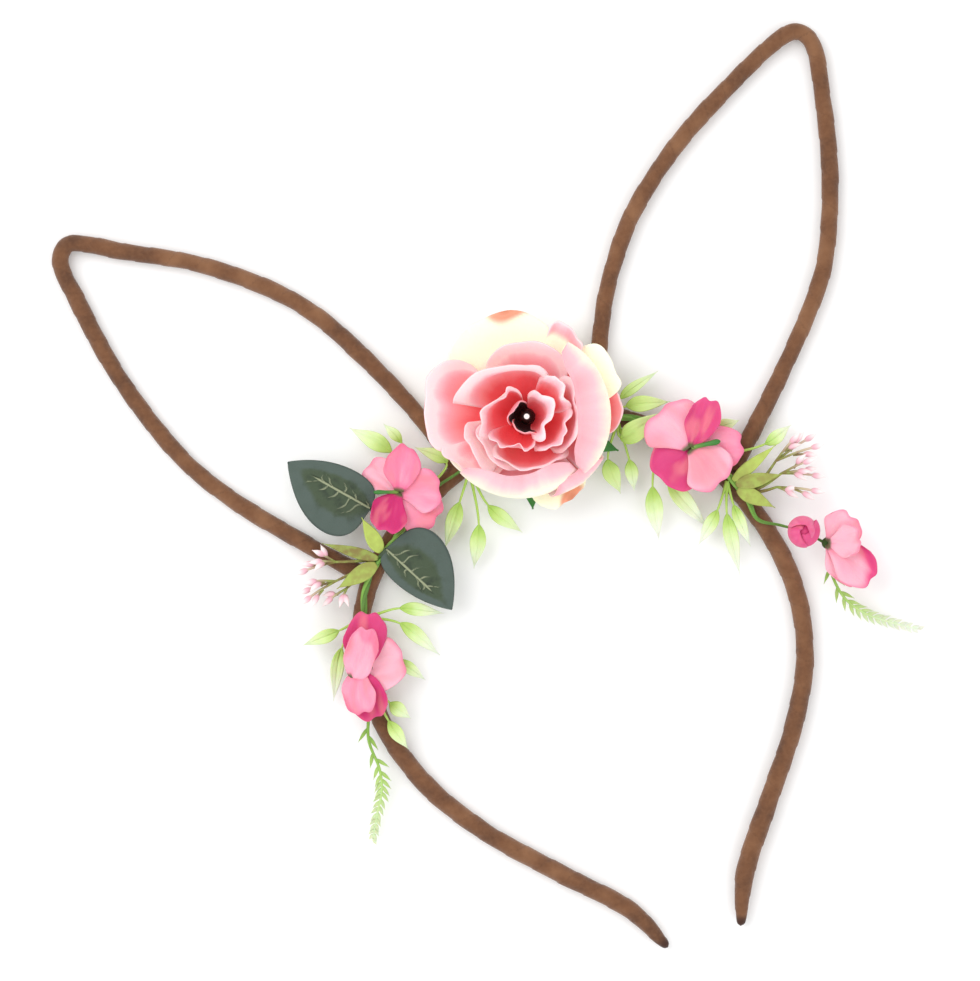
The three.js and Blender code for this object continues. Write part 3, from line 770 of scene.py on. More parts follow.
@dataclass
class WireFrame:
    """Band and ears, wound with ribbon."""

    band_rows: Sequence[WireRow] = tuple(starmap(WireRow, (
        (-7.5, -128.7, 1.2), (-14.5, -115, 5.3), (-31.5, -97.5), (-50, -77.5), (-62.5, -57.5), (-68.5, -34),
        (-65, -8), (-51.5, 10.5), (-30, 23.5), (-2, 32), (25, 28), (45, 12), (57.5, -12.5), (62, -37),
        (58.5, -58.5), (49, -77), (35, -96), (21.5, -114.5, 5.7), (15.2, -129.3, 1.4),
    )))
    left_ear: Sequence[Flat] = (
        (-22.5, 25.5), (-27, 40), (-33, 54.5), (-40.5, 69.5), (-48.5, 83), (-58, 94), (-78, 109.5),
        (-99.5, 120.7), (-108, 125.5), (-113.8, 127.2), (-117.2, 123), (-116, 110.5), (-111, 84),
        (-100.5, 55.3), (-90, 39), (-75.3, 22), (-58.5, 4.2),
    )
    right_ear: Sequence[Flat] = (
        (19.5, 29.5), (24.5, 39.8), (34.5, 61.6), (41, 72), (49, 82.3), (59, 91.5), (71, 100.4), (85, 108.6),
        (108, 119.8), (113.7, 120.6), (117.2, 116.5), (115.2, 98.6), (109.8, 75), (101, 52.7), (94, 42.4),
        (76.5, 22.8), (54, 0.2),
    )
    turn_pitch: float = 8.5
    turn_step: float = 0.22
    turn_drift: float = 0.35
    drift_run: float = 31.0
    lap: float = 0.93
    lump: float = 0.14
    lump_runs: Point = (3.7, 8.9, 15.7)
    grain: float = 0.5
    sides: int = 24
    end_run: float = 6.0
    end_round: float = 0.9
    ear_foot: float = 0.9
    weave: float = 0.8
    weave_rate: float = 5.0

    def __post_init__(self) -> None:
        """Lay the band's middle line."""
        self.band_line = Spline([(row.x, row.y) for row in self.band_rows])

    def stem_point(self, station: float, shift: float = 0.0) -> Array:
        """Point on the stem that weaves along the front of the band.

        Args:
            station: Place along the band, in rows of its table.
            shift: Distance to the outside of the band.

        Returns:
            The point.
        """
        share = np.array(station / self.band_line.spans)
        x, y = self.band_line.heading(share)
        out = self.weave * math.sin(self.weave_rate * station) + shift
        return np.append(self.band_line.at(share) + out * np.array((-y, x)), STEM_Z)

    def beside_stem(self, station: float, side: Side) -> Array:
        """Root of a twig that lies beside the stem."""
        return self.stem_point(station, side.value * (STEM_WIDTH / 2 + 0.2 * TWIG_WIDTH))

    def wound(self, line: Spline, widths: Sequence[float], height: float, foot: float, seed: float) -> Shell:
        """Wire along a line, with the ribbon's turns raised on it.

        Args:
            line: Middle line, seen from the front.
            widths: Widths at even places of the line.
            height: Height of the middle line.
            foot: Length left off at each end.
            seed: Start of the lumps.

        Returns:
            The wire's skin.
        """
        share, run = line.even(self.grain)
        keep = (run >= foot) & (run <= run[-1] - foot)
        share, run = share[keep], run[keep] - foot
        x, y = line.at(share).T
        centres = stacked(x, y, height + self.turn_step / 2 + self.lump)
        angle = np.arange(self.sides) / self.sides
        drift = self.turn_drift * np.sin(run / self.drift_run + seed)
        turn = (run[:, None] / self.turn_pitch + angle + drift[:, None]) % 1.0
        raised = turn ** 0.8 * (1 - smooth(turn, self.lap, 1.0))
        short, middle, long = (np.sin(run / length + k * seed) for k, length in enumerate(self.lump_runs, 1))
        lumps = (short * middle + 0.6 * long) / 1.6
        full = np.cbrt(np.interp(share, np.linspace(0, 1, len(widths)), np.power(widths, 3))) / 2
        to_end = np.minimum(run, run[-1] - run)
        rounding = np.sqrt(1 - (1 - np.clip(to_end / self.end_round, 0, 1)) ** 2)
        radii = full[:, None] + self.turn_step * (raised - 0.5) + self.lump * lumps[:, None]
        radii = np.maximum(radii * np.maximum(rounding, 0.08)[:, None], 0.05)
        end = (1 - smooth(to_end, 0.0, self.end_run)) * smooth(BAND_WIDTH - 2 * full, 0.3, 2.5)
        shell = Shell()
        shell.tube(centres, radii, self.sides, turn=turn, end=end)
        return shell

    def build(self) -> None:
        """Make the band and both ears."""
        widths = [row.width for row in self.band_rows]
        ear = ((EAR_WIDTH, EAR_WIDTH), EAR_WIDTH / 2, self.ear_foot)
        wires = {
            "band": self.wound(self.band_line, widths, BAND_WIDTH / 2, 0.0, seed=0.4),
            "ear_left": self.wound(Spline(self.left_ear), *ear, seed=1.3),
            "ear_right": self.wound(Spline(self.right_ear), *ear, seed=2.9),
        }
        for node, shell in wires.items():
            shell.piece(node, "winding", "ribbon", RibbonFinish().material())


class PetalRow(NamedTuple):
    """Row of a rose layer: the petal's place, profile, rolled rim and dye, which on the innermost petals is
    lowered into painted throat shade.
    """

    heading: float
    half: float
    belly: float
    rim: float
    height: float
    roll: float = 0.0
    skew: float = 0.7
    ruffle: float = 0.4
    waves: float = 1.5
    bleach: float = 0.0
    cream: float = 0.0
    flush: float = 0.0
    lip_at: float = 0.0
    lip_span: float = 0.0
    lip_depth: float = 0.17
    bow: float = 0.0
    corner: float = 0.5
    square: float = 4.0
    flare: float = 0.0


@dataclass
class CupPetal:
    """A petal swept round its flower's axis, from the foot over the belly to the rim."""

    foot: float
    row: PetalRow
    seed: float
    centre: Point
    belly_pull: Flat = (0.95, 1.12)
    height_pull: Flat = (0.1, 0.7)
    roll_start: float = 0.72
    lip_rise: float = 1.4
    least_radius: float = 0.4

    def profile(self, u: float) -> tuple[Array, Array, Array]:
        """Side view of the petal, with its rolled rim.

        Args:
            u: Place across, from -1 to 1.

        Returns:
            Shares from foot to rim, with the radius and height at each.
        """
        t = np.linspace(0, 1, 121)
        row = self.row
        step_r = np.diff(bezier(t, self.foot, *(pull * row.belly for pull in self.belly_pull), row.rim))
        step_h = np.diff(bezier(t, 0.0, *(pull * row.height for pull in self.height_pull), row.height))
        reach = 1 - row.bow * u * u - row.corner * abs(u) ** row.square
        turned = math.radians(row.roll) * smooth(t[1:], self.roll_start * reach, reach)
        lean = np.arctan2(step_h, step_r) - turned
        length = np.hypot(step_r, step_h)
        radius = self.foot + np.concatenate([[0], np.cumsum(length * np.cos(lean))])
        height = np.concatenate([[0], np.cumsum(length * np.sin(lean))])
        return t / reach, radius, height

    def lip(self, u: Array, v: Array) -> Array:
        """Strength of the coloured lip at the rim.

        Args:
            u: Places across.
            v: Places from foot to rim.

        Returns:
            Values from 0 to 1.
        """
        row = self.row
        if row.lip_span == 0:
            return np.zeros_like(u)
        place = np.clip((u - row.lip_at) / row.lip_span, -1, 1)
        depth = row.lip_depth * np.maximum(1e-3, (1 - place ** 2) * (1 + 0.6 * place))
        return smooth((v - 1) / depth, -1.0, 0.0) * (1 - place ** 2)

    def surface(self, u: Array, v: Array) -> Array:
        """Points of the petal.

        Args:
            u: Places across, the same down each column.
            v: Places from foot to rim.

        Returns:
            The points.
        """
        row = self.row
        r, z = np.empty_like(u), np.empty_like(u)
        for i, place in enumerate(u[0]):
            share, radius, height = self.profile(place)
            r[:, i] = np.interp(v[:, i], share, radius)
            z[:, i] = np.interp(v[:, i], share, height)
        wave = row.ruffle * v ** 3 * np.sin(row.waves * math.pi * u + self.seed)
        ripple = 0.35 * row.ruffle * v ** 2 * np.sin(4.3 * row.waves * u + 2.1 * self.seed)
        crease = 0.28 * row.ruffle * v ** 5 * np.arcsin(np.sin(7.3 * row.waves * u + 1.3 * self.seed))
        angle = np.radians(row.heading + row.half * u) + 0.03 * v * np.sin(2.7 * u + self.seed)
        spiral = row.skew * u * v + row.flare * np.maximum(u, 0) ** 2 * v
        r = np.maximum(r + spiral + wave + ripple + crease, self.least_radius)
        z = z + 0.6 * (wave + crease) + self.lip_rise * self.lip(u, v)
        x, y, base = self.centre
        return stacked(x + r * np.cos(angle), y + r * np.sin(angle), base + z)


class RoseLayer(NamedTuple):
    """Layer of the rose: its node, slot, radius of the foot and petals."""

    node: str
    slot: str
    foot: float
    petals: Sequence[PetalRow]


@dataclass
class Rose:
    """The large rose: calyx, five layers of petals and a dark heart."""

    centre: Flat = (1.2, 35.5)
    calyx_radius: float = 8.0
    calyx_height: float = 2.4
    calyx_taper: float = 1.2
    calyx_ribs: int = 10
    rib_depth: float = 0.02
    sepal_width: float = 9.5
    sepal_cloth: float = 0.6
    sepal_mesh: tuple[int, int] = (14, 36)
    sepal_outline: Outline = Outline(0.03, 0.02, 0.8, 0.9)
    sepals: Sequence[Flat] = ((-104, 27.6), (-38, 29.3), (24, 28), (98, 28), (170, 28))
    layer_pitch: float = 1.5
    layer_rise: float = 0.5
    disc_margin: float = 0.6
    cloth: float = 0.5
    petal_mesh: tuple[int, int] = (44, 34)
    heart_radius: float = 2.4
    heart_dimples: int = 9
    dimple_depth: float = 0.05
    layers: Sequence[RoseLayer] = (
        RoseLayer("rose_outer", "petal_cream", 5.2, (
            PetalRow(183, 32, 19, 25.5, 4, cream=0.6),
            PetalRow(-14, 21, 20.5, 28.4, 5.5, bleach=-0.3),
            PetalRow(-85, 24, 21, 28.3, 5, ruffle=0.8, cream=1.0, lip_at=0.32, lip_span=0.5, lip_depth=0.5),
            PetalRow(13, 22, 22, 30.3, 7, skew=0.8, cream=1.0),
            PetalRow(45, 13, 20, 29.2, 8, skew=1.8, bleach=-0.1, cream=1.0, flush=1.0, corner=0.2, square=5),
            PetalRow(94, 50, 20, 31.8, 6, ruffle=0.5, cream=1.0, lip_at=-0.25, lip_span=0.26),
        )),
        RoseLayer("rose_second", "petal_pink", 4.8, (
            PetalRow(70, 46, 17, 22, 12.5, bleach=0.28),
            PetalRow(153, 36, 23, 31, 11.5, skew=-0.4, ruffle=0.7, bleach=0.2),
            PetalRow(203, 24, 21, 25, 11, skew=-3.5, ruffle=0.6, bleach=0.32),
            PetalRow(293, 24, 26.6, 21.6, 12.5, skew=0.6, ruffle=0.3, bleach=0.3),
            PetalRow(249, 47, 26.5, 16.8, 16.5, roll=10, skew=-2.6, ruffle=0.25, bleach=0.5, bow=0.02,
                     corner=0.1, square=8),
            PetalRow(-11, 53, 28.2, 14.6, 18, roll=10, skew=0.5, ruffle=0.3, bleach=0.34, bow=0.05,
                     corner=0.09, square=8),
        )),
        RoseLayer("rose_third", "petal_pink", 4.2, (
            PetalRow(193, 27, 16, 19, 10.5, roll=15, bleach=0.32, corner=0.25, square=6),
            PetalRow(210, 38, 14, 15.5, 11, roll=30, bleach=0.42),
            PetalRow(255, 50, 15.5, 13.5, 13.5, roll=50, ruffle=0.8, bleach=0.06),
            PetalRow(-20, 52, 14.5, 13.6, 14.5, roll=45, ruffle=0.7, bleach=0.02),
            PetalRow(94, 56, 15, 13.2, 15, roll=80, skew=3.6, ruffle=0.5, bleach=0.14, corner=0.36, square=5,
                     flare=2.6),
        )),
        RoseLayer("rose_fourth", "petal_coral", 3.4, (
            PetalRow(22, 32, 11.5, 11, 13.5, roll=85, ruffle=0.8, waves=1.7, bleach=0.02),
            PetalRow(-48, 46, 11, 10.5, 12.5, roll=55, ruffle=1.0, waves=1.9, bleach=-0.04),
            PetalRow(228, 46, 10.5, 8.5, 12.5, roll=45, skew=-2.5, ruffle=0.9, waves=2.1, bleach=-0.04),
            PetalRow(138, 53, 11, 8.5, 13, roll=65, skew=4.2, ruffle=0.9, waves=1.9, bleach=0.03),
        )),
        RoseLayer("rose_inner", "petal_coral", 2.6, (
            # These two low inner petals have their dye lowered so far that they show the near-black painted
            # throat shade
            PetalRow(235, 62, 5, 4.4, 7.5, roll=20, bleach=-0.75),
            PetalRow(130, 60, 5, 4.4, 7, bleach=-0.75),
            PetalRow(-12, 80, 6, 5.5, 11.5, roll=88, ruffle=1.1, waves=1.7, bleach=0.04),
        )),
    )

    def sepal(self, heading: float, tip: float, u: Array, v: Array) -> Array:
        """Points of one pointed sepal that lies under the petals.

        Args:
            heading: Direction, in degrees.
            tip: Distance of its tip from the flower's axis.
            u: Places across.
            v: Places from base to tip.

        Returns:
            The points.
        """
        x, y = self.centre
        cos, sin = math.cos(math.radians(heading)), math.sin(math.radians(heading))
        r = self.calyx_radius / 2 + (tip - self.calyx_radius / 2) * v
        side = self.sepal_width / 2 * self.sepal_outline.at(v) * u
        middle = CALYX_Z + self.calyx_height - 0.5
        height = middle + 0.35 * np.cos(1.5 * u) - 0.3 * ridge(u, 0.12) * v * (1 - v)
        return stacked(x + r * cos - side * sin, y + r * sin + side * cos, height)

    def build_calyx(self) -> None:
        """Make the ribbed cup and its sepals."""
        share = np.linspace(0, 1, 13)
        sides = 60
        radii = self.calyx_radius - self.calyx_taper * (1 - share) ** 2
        ribs = 1 + self.rib_depth * np.cos(self.calyx_ribs * np.arange(sides) * 2 * math.pi / sides)
        shell = Shell()
        shell.tube(stacked(*self.centre, CALYX_Z + self.calyx_height * share), radii[:, None] * ribs, sides,
                   along=0.4 + 0.2 * share)
        for heading, tip in self.sepals:
            shell.sheet(partial(self.sepal, heading, tip), self.sepal_mesh, self.sepal_cloth, seed=heading)
        shell.piece("rose_calyx", "sepals", "calyx", CALYX_FINISH.material())

    def build_layer(self, index: int, layer: RoseLayer) -> None:
        """Make one layer: its petals round a small disc.

        Args:
            index: Number of the layer from the outside.
            layer: Sizes of the layer.
        """
        base = CALYX_Z + CLEARANCE + self.calyx_height + self.layer_rise + index * self.layer_pitch
        disc = stacked(*self.centre, np.array((base - self.cloth / 2, base + self.cloth / 2)))
        shell = Shell()
        shell.tube(disc, layer.foot + self.disc_margin, 32, along=0.0)
        for k, row in enumerate(layer.petals):
            petal = CupPetal(layer.foot, row, 1.7 * k + 2.3 * index, (*self.centre, base))
            blade = shell.sheet(petal.surface, self.petal_mesh, self.cloth, seed=3.0 * k + 11 * index,
                                bleach=row.bleach)
            blade["lip"] = petal.lip(blade["across"], blade["along"])
            blade["cream"] = row.cream * (1 - row.flush * smooth(blade["along"], 0.74, 0.88))
        shell.piece(layer.node, "petals", layer.slot, RoseFinish().material())

    def build_heart(self) -> None:
        """Make the dark bead with its dimpled top."""
        sides = 36
        base = CALYX_Z + self.calyx_height + CLEARANCE + len(self.layers) * self.layer_pitch
        polar = np.linspace(0.05, math.pi - 0.05, 25)
        centres = stacked(*self.centre, base + self.heart_radius * (1 - np.cos(polar)))
        across = np.sin(polar)[:, None]
        dimples = 0.5 + 0.5 * np.cos(self.heart_dimples * np.arange(sides) * 2 * math.pi / sides)
        shell = Shell()
        shell.tube(centres, self.heart_radius * across * (1 - self.dimple_depth * dimples * across), sides)
        shell.piece("rose_heart", "bead", "heart", HeartFinish().material())

    def build(self) -> None:
        """Make the whole rose."""
        self.build_calyx()
        for index, layer in enumerate(self.layers):
            self.build_layer(index, layer)
        self.build_heart()


class BlossomRow(NamedTuple):
    """Row of a blossom: the petal's direction, size, lie and depth of dye."""

    heading: float
    length: float
    width: float
    lift: float
    curl: float
    tone: float
    notch: float = 0.8
    blush: float = 0.0
    start: float = 0.2
    foot: float = 0.24
    swell: float = 1.3


@dataclass
class Blossom:
    """A small blossom of rounded cloth petals on a short tube."""

    node: str
    centre: Flat
    petals: Sequence[BlossomRow]
    stalk: Sequence[Flat] = ()
    shift: Flat = (0.0, 0.0)
    throat: float = 1.4
    throat_flare: float = 0.4
    stack: float = 0.5
    cloth: float = 0.45
    mesh: tuple[int, int] = (30, 30)

    def petal(self, index: int, row: BlossomRow, u: Array, v: Array) -> Array:
        """Points of one petal.

        Args:
            index: Number of the petal, which gives its height in the stack.
            row: Sizes of the petal.
            u: Places across.
            v: Places from foot to tip.

        Returns:
            The points.
        """
        x, y = np.add(self.centre, self.shift)
        opened = np.sin(math.pi / 2 * np.minimum(1, v / 0.85)) ** row.swell
        half = row.width / 2 * (row.foot + (1 - row.foot) * opened)
        side = half * (1 + 0.08 * np.sin(6 * v + 2.3 * index + 2 * np.sign(u))) * u
        cap = 1 - 0.45 * (1 - np.sqrt(1 - 0.98 * np.abs(u) ** 2.3)) + 0.02 * np.sin(8 * u + 2.9 * index)
        reach = row.start + row.length * v * cap - row.notch * v ** 5 * ridge(u - 0.1, 0.28)
        turn = np.radians(row.heading) + 0.1 * np.sin(2.1 * index + 0.7) * v ** 2
        cos, sin = np.cos(turn), np.sin(turn)
        droop = row.curl * np.maximum(0, (v - 0.6) / 0.4) ** 2
        ruffle = 0.5 * v ** 2 * np.sin(4.2 * u + 1.9 * index) + 0.24 * v ** 2 * np.sin(9 * u + index)
        groove = 0.5 * ridge(u, 0.24) * np.sin(math.pi * v)
        height = row.lift * v ** 1.4 + 0.7 * u * u * v - droop + ruffle - groove
        base = FLOWER_Z + TUBE_HEIGHT + self.stack * index
        return stacked(x + reach * cos - side * sin, y + reach * sin + side * cos, base + height)

    def build(self) -> None:
        """Make the tube, its stalk and the petals."""
        shell = Shell()
        x, y = self.centre
        share = np.linspace(0, 1, 9)
        lift = FLOWER_Z - SEAT + (SEAT + TUBE_HEIGHT) * share
        shell.tube(stacked(x, y, lift), self.throat + self.throat_flare * share ** 2, 20, green=1.0)
        for foot in self.stalk:
            line = Spline([(*foot, FLOWER_Z), (x, y, FLOWER_Z + TWIG_WIDTH / 2)])
            shell.tube(line.at(np.linspace(0, 1, 8)), TWIG_WIDTH / 2, 12, green=1.0)
        for i, row in enumerate(self.petals):
            blade = shell.sheet(partial(self.petal, i, row), self.mesh, self.cloth, seed=2.3 * i + x)
            edge = smooth(blade["along"] + 0.3 * blade["across"], 0.7, 1.1)
            blade["tone"] = row.tone + row.blush * edge
            if row.start < 0:
                # The foot of a petal that crosses the throat has the painted green throat shade on one side
                # only
                blade["along"] = blade["along"] + 0.2 * (1 - smooth(blade["across"], 0.1, 0.6))
        shell.piece(self.node, "petals", "blossom_pink", BlossomFinish().material())


@dataclass
class Bud:
    """The closed magenta flower beside the lower right blossom."""

    centre: Flat = (69, -22.3)
    core: Sequence[Flat] = (
        (1.1, -SEAT), (1.4, 0), (2.2, 1.4), (3.7, 3), (4.1, 5.5), (3.2, 8), (1.5, 9.2), (0.2, 9.4),
    )
    petals: Sequence[PetalRow] = (
        PetalRow(40, 105, 5.0, 1.6, 10.0, ruffle=0.1, corner=0.2),
        PetalRow(160, 105, 5.3, 1.2, 9.6, ruffle=0.1, corner=0.2),
        PetalRow(280, 105, 5.6, 1.0, 9.2, ruffle=0.1, corner=0.2),
    )
    petal_foot: float = 1.6
    petal_rise: float = 0.6
    cloth: float = 0.35
    mesh: tuple[int, int] = (36, 24)
    core_tone: float = 0.9
    petal_tone: float = 0.54
    tone_step: float = 0.08

    def build(self) -> None:
        """Make the core and three petals wrapped about it."""
        shell = Shell()
        radius, height = Spline(self.core).at(np.linspace(0, 1, 25)).T
        green = 1 - smooth(height, 1.0, 2.2)
        shell.tube(stacked(*self.centre, FLOWER_Z + height), radius, 30, tone=self.core_tone, green=green)
        for k, row in enumerate(self.petals):
            petal = CupPetal(self.petal_foot, row, 1.3 * k, (*self.centre, FLOWER_Z + self.petal_rise))
            tone = self.petal_tone + self.tone_step * k
            shell.sheet(petal.surface, self.mesh, self.cloth, tone=tone, seed=4.1 * k)
        shell.piece("bud_lower_right", "petals", "blossom_deep", BlossomFinish().material())


@dataclass
class Pistil:
    """A green pin in a blossom, with a rounded head."""

    node: str
    start: Flat
    end: Flat
    width: float = 1.4
    rise: Point = (0.4, 3.0, 3.8)
    head: float = 0.2

    def build(self) -> None:
        """Make the pin."""
        base = FLOWER_Z + TUBE_HEIGHT + 0.5 + CLEARANCE
        places = (self.start, np.add(self.start, self.end) / 2, self.end)
        line = Spline([(*place, base + rise) for place, rise in zip(places, self.rise)])
        share = np.linspace(0, 1, 22)
        neck = 1 - self.head
        head = np.sqrt(np.clip(1 - ((share - neck) / self.head).clip(0, 1) ** 2, 0.02, 1))
        taper = head * (0.75 + 0.25 * smooth(share, 0.5, neck))
        shell = Shell()
        shell.tube(line.at(share), self.width / 2 * taper, 16)
        shell.piece(self.node, "pin", "stem", CALYX_FINISH.material())


@dataclass
class DarkLeaf:
    """A broad dark leaf with raised veins on a short stalk."""

    node: str
    stalk: Flat
    base: Flat
    tip: Flat
    left: float
    right: float
    rise: float
    roll: float
    cloth: float = 0.6
    mesh: tuple[int, int] = (96, 110)
    outline: Outline = Outline(1e-6, 0.0, 0.6)
    vein_height: float = 0.55
    vein_feet: Sequence[float] = (0.06, 0.19, 0.33, 0.48, 0.6)

    def veins(self, u: Array, v: Array) -> Array:
        """Strength of the vein relief.

        Args:
            u: Places across.
            v: Places from base to tip.

        Returns:
            Values from 0 to 1.
        """
        relief = ridge(u, 0.019) * (1 - smooth(v, 0.6, 0.78))
        for k, foot in enumerate(self.vein_feet):
            for side in (-1, 1):
                reach = 0.55 + 0.16 * math.sin(5.1 * k + 1.7 * side)
                slope = 0.26 + 0.1 * math.sin(3.3 * k + 2.2 * side)
                line = foot + 0.03 * side + slope * np.abs(u) + 0.014 * np.sin(16 * u + k)
                strand = ridge(v - line, 0.0075) * (1 - smooth(np.abs(u), 0.3 * reach, reach))
                relief = np.maximum(relief, 0.7 * strand * (np.sign(u) == side))
        return relief

    def surface(self, u: Array, v: Array) -> Array:
        """Points of the blade.

        Args:
            u: Places across.
            v: Places from base to tip.

        Returns:
            The points.
        """
        way_x, way_y = np.subtract(self.tip, self.base)
        x, y = unit(np.array((-way_y, way_x)))
        outline = np.maximum(0.02, self.outline.at(v) ** (0.5 + 0.3 * v * v))
        side = u * outline * np.where(u > 0, self.left, self.right)
        pucker = 0.7 * np.sin(21 * v - 6 * np.abs(u)) * (1 - np.abs(u)) ** 2 * np.abs(u) * (1 - v)
        height = self.rise * v + side * math.tan(math.radians(self.roll)) + 0.012 * side ** 2
        height = FLOWER_Z + 0.7 + height + self.vein_height * self.veins(u, v) + pucker
        return stacked(self.base[0] + way_x * v + x * side, self.base[1] + way_y * v + y * side, height)

    def build(self) -> None:
        """Make the blade and its stalk."""
        shell = Shell()
        blade = shell.sheet(self.surface, self.mesh, self.cloth)
        u, v = blade["across"], blade["along"]
        blade["vein"] = self.veins(u, v)
        blade["edge"] = np.maximum(smooth(np.abs(u), 0.93, 1.0), smooth(v, 0.97, 1.0))
        blade["middle"] = 1 - smooth(np.hypot(u, 1.3 * (v - 0.42)), 0.3, 0.8)
        line = Spline([(*self.stalk, FLOWER_Z), (*self.base, FLOWER_Z + 0.5)])
        shell.tube(line.at(np.linspace(0, 1, 14)), TWIG_WIDTH / 2, 12, middle=0.8)
        shell.piece(self.node, "cloth", "leaf_dark", DarkLeafFinish().material())


class SprayLeaf(NamedTuple):
    """Row of a spray: a leaf from base to tip, and how far it fades."""

    base: Flat
    tip: Flat
    width: float
    tip_z: float
    fade: float = 0.4
    base_z: float = STEM_Z + 0.2


@dataclass
class Spray:
    """A moulded spray of slim leaves, each on its own stalk from one root beside the stem."""

    node: str
    station: float
    side: Side
    leaves: Sequence[tuple]
    slim: float = 0.8
    thickness: float = 0.5
    mesh: tuple[int, int] = (16, 40)
    outline: Outline = Outline(0.04, 0.015, 0.75, 1.15)
    stalk: Sequence[Flat] = ((0, TWIG_WIDTH / 2), (0.2, 0.42), (0.45, 0.34), (0.56, 0.22))
    stalk_lift: Sequence[Flat] = ((0.5, 0.0), (0.56, 0.2))

    def build(self, wire: WireFrame) -> None:
        """Make the leaves and their stalks.

        Args:
            wire: Frame whose stem carries the spray.
        """
        root = wire.beside_stem(self.station, self.side)
        share = np.linspace(0, self.stalk[-1][0], 30)
        radii = np.interp(share, *zip(*self.stalk))
        lift = np.interp(share, *zip(*self.stalk_lift))[:, None] * UP
        shell = Shell()
        for k, leaf in enumerate(starmap(SprayLeaf, self.leaves)):
            line = Spline([root, (*leaf.base, leaf.base_z), (*leaf.tip, leaf.tip_z)])
            width = self.slim * leaf.width
            blade = Blade(line, width, self.outline, start=0.5, arch=0.8, cup=0.1, crease=0.3)
            shell.sheet(blade.surface, self.mesh, self.thickness, fade=leaf.fade, seed=3.7 * k + self.station)
            shell.tube(line.at(share) + lift, radii, 10, along=0.3 * share, seed=self.station)
        shell.piece(self.node, "leaves", "spray", SPRAY_FINISH.material())


class Fork(NamedTuple):
    """Fork of a sprig and the buds that leave it."""

    at: Point
    buds: Sequence[Point]


class Bract(NamedTuple):
    """Row of a sprig: a sheathing leaf on the stem, and how fresh its green is."""

    start: Flat
    tip: Flat
    tip_z: float
    width: float
    fresh: float


@dataclass
class Sprig:
    """Forked twigs that swell into small pale buds, with sheathing bracts at their foot."""

    node: str
    station: float
    side: Side
    forks: Sequence[Fork]
    bracts: Sequence[Bract]
    bud_length: float = 4.8
    bud_width: float = 1.8
    twig_radius: float = 0.36
    side_shoot: float = 2.6
    side_span: Flat = (0.35, 0.8)
    bract_cloth: float = 0.45
    bract_mesh: tuple[int, int] = (12, 30)
    bract_outline: Outline = Outline(0.06, 0.04, 0.7)

    def shoot(self, shell: Shell, start: Array, end: Array) -> None:
        """Add a thin shoot that swells into a bud at its end.

        Args:
            shell: Skin of the sprig.
            start: Foot of the shoot.
            end: Tip of the bud.
        """
        line = Spline([start, (start + end) / 2 + (0.0, 0.4, 0.3), end])
        share, run = line.even(0.25)
        swell = np.clip(1 - (run[-1] - run) / self.bud_length, 0, 1)
        bulge = self.bud_width / 2 * np.sin(math.pi * swell ** 0.8) ** 1.1
        radii = np.maximum(self.twig_radius * (1 - 0.5 * swell) * (swell < 0.9), bulge)
        shell.tube(line.at(share), np.maximum(radii, 0.1), 14, bud=smooth(swell, 0.02, 0.25), along=swell,
                   faded=run / run[-1])

    def build(self, wire: WireFrame) -> None:
        """Make the twigs, the buds and the bracts.

        Args:
            wire: Frame whose stem carries the sprig.
        """
        root = wire.beside_stem(self.station, self.side)
        taper = np.linspace(TWIG_WIDTH / 2, self.twig_radius, 20)
        shell = Shell()
        foot, top = self.side_span
        for i, fork in enumerate(self.forks):
            at = np.array(fork.at)
            trunk = Spline([root, (root + at) / 2 + (0.4, -0.3, 0.4), at])
            shell.tube(trunk.at(np.linspace(0, 1, 20)), taper, 10, bud=0.0)
            for k, end in enumerate(fork.buds):
                way = end - at
                self.shoot(shell, at, at + way)
                x, y, _ = unit(way)
                side = np.array((-y, x, 0.25)) * self.side_shoot * (1 if (i + k) % 2 else -1)
                self.shoot(shell, at + foot * way, at + top * way + side)
        for k, row in enumerate(self.bracts):
            line = Spline([(*row.start, STEM_Z + STEM_WIDTH / 2), (*row.tip, row.tip_z)])
            bract = Blade(line, row.width, self.bract_outline, arch=0.7, cup=0.12)
            shell.sheet(bract.surface, self.bract_mesh, self.bract_cloth, fresh=row.fresh, seed=1.9 * k)
        shell.piece(self.node, "buds", "twig", SprigFinish().material())


@dataclass
class Fern:
    """A stem that ends in a feathery spike."""

    node: str
    route: Sequence[Point]
    fade: float = 0.5
    pairs: int = 14
    first: float = 0.16
    last: float = 0.98
    crowding: float = 0.68
    longest: float = 6.0
    shortest: float = 2.2
    spread: float = 34.0
    sway: float = 9.0
    stagger: float = 0.02
    needle_width: float = 1.1
    needle_cloth: float = 0.35
    needle_mesh: tuple[int, int] = (4, 10)
    needle_outline: Outline = Outline(0.08, 0.03, 0.8)

    def build(self) -> None:
        """Make the stem and its pairs of leaflets."""
        line = Spline(self.route)
        share = np.linspace(0, 1, 60)
        shell = Shell()
        shell.tube(line.at(share), 0.5 - 0.25 * share, 10, along=0.8 * share, fade=self.fade * share)
        for i in range(self.pairs):
            t = self.first + (self.last - self.first) * (i / (self.pairs - 1)) ** self.crowding
            length = self.longest + (self.shortest - self.longest) * t
            x, y, _ = line.heading(np.array(t))
            for side in (-1, 1):
                lean = side * self.spread + self.sway * math.sin(3.1 * i)
                turn = math.atan2(y, x) + math.radians(lean)
                way = length * np.array((math.cos(turn), math.sin(turn), 0.0))
                foot = line.at(np.array(min(1.0, t + self.stagger * side)))
                axis = Spline([foot, foot + way])
                needle = Blade(axis, self.needle_width, self.needle_outline, upturn=0.35)
                values = shell.sheet(needle.surface, self.needle_mesh, self.needle_cloth, fade=self.fade * t,
                                     seed=1.3 * i)
                values["along"] = 0.75 * t + 0.25 * values["along"]
        shell.piece(self.node, "fronds", "spray", FERN_FINISH.material())


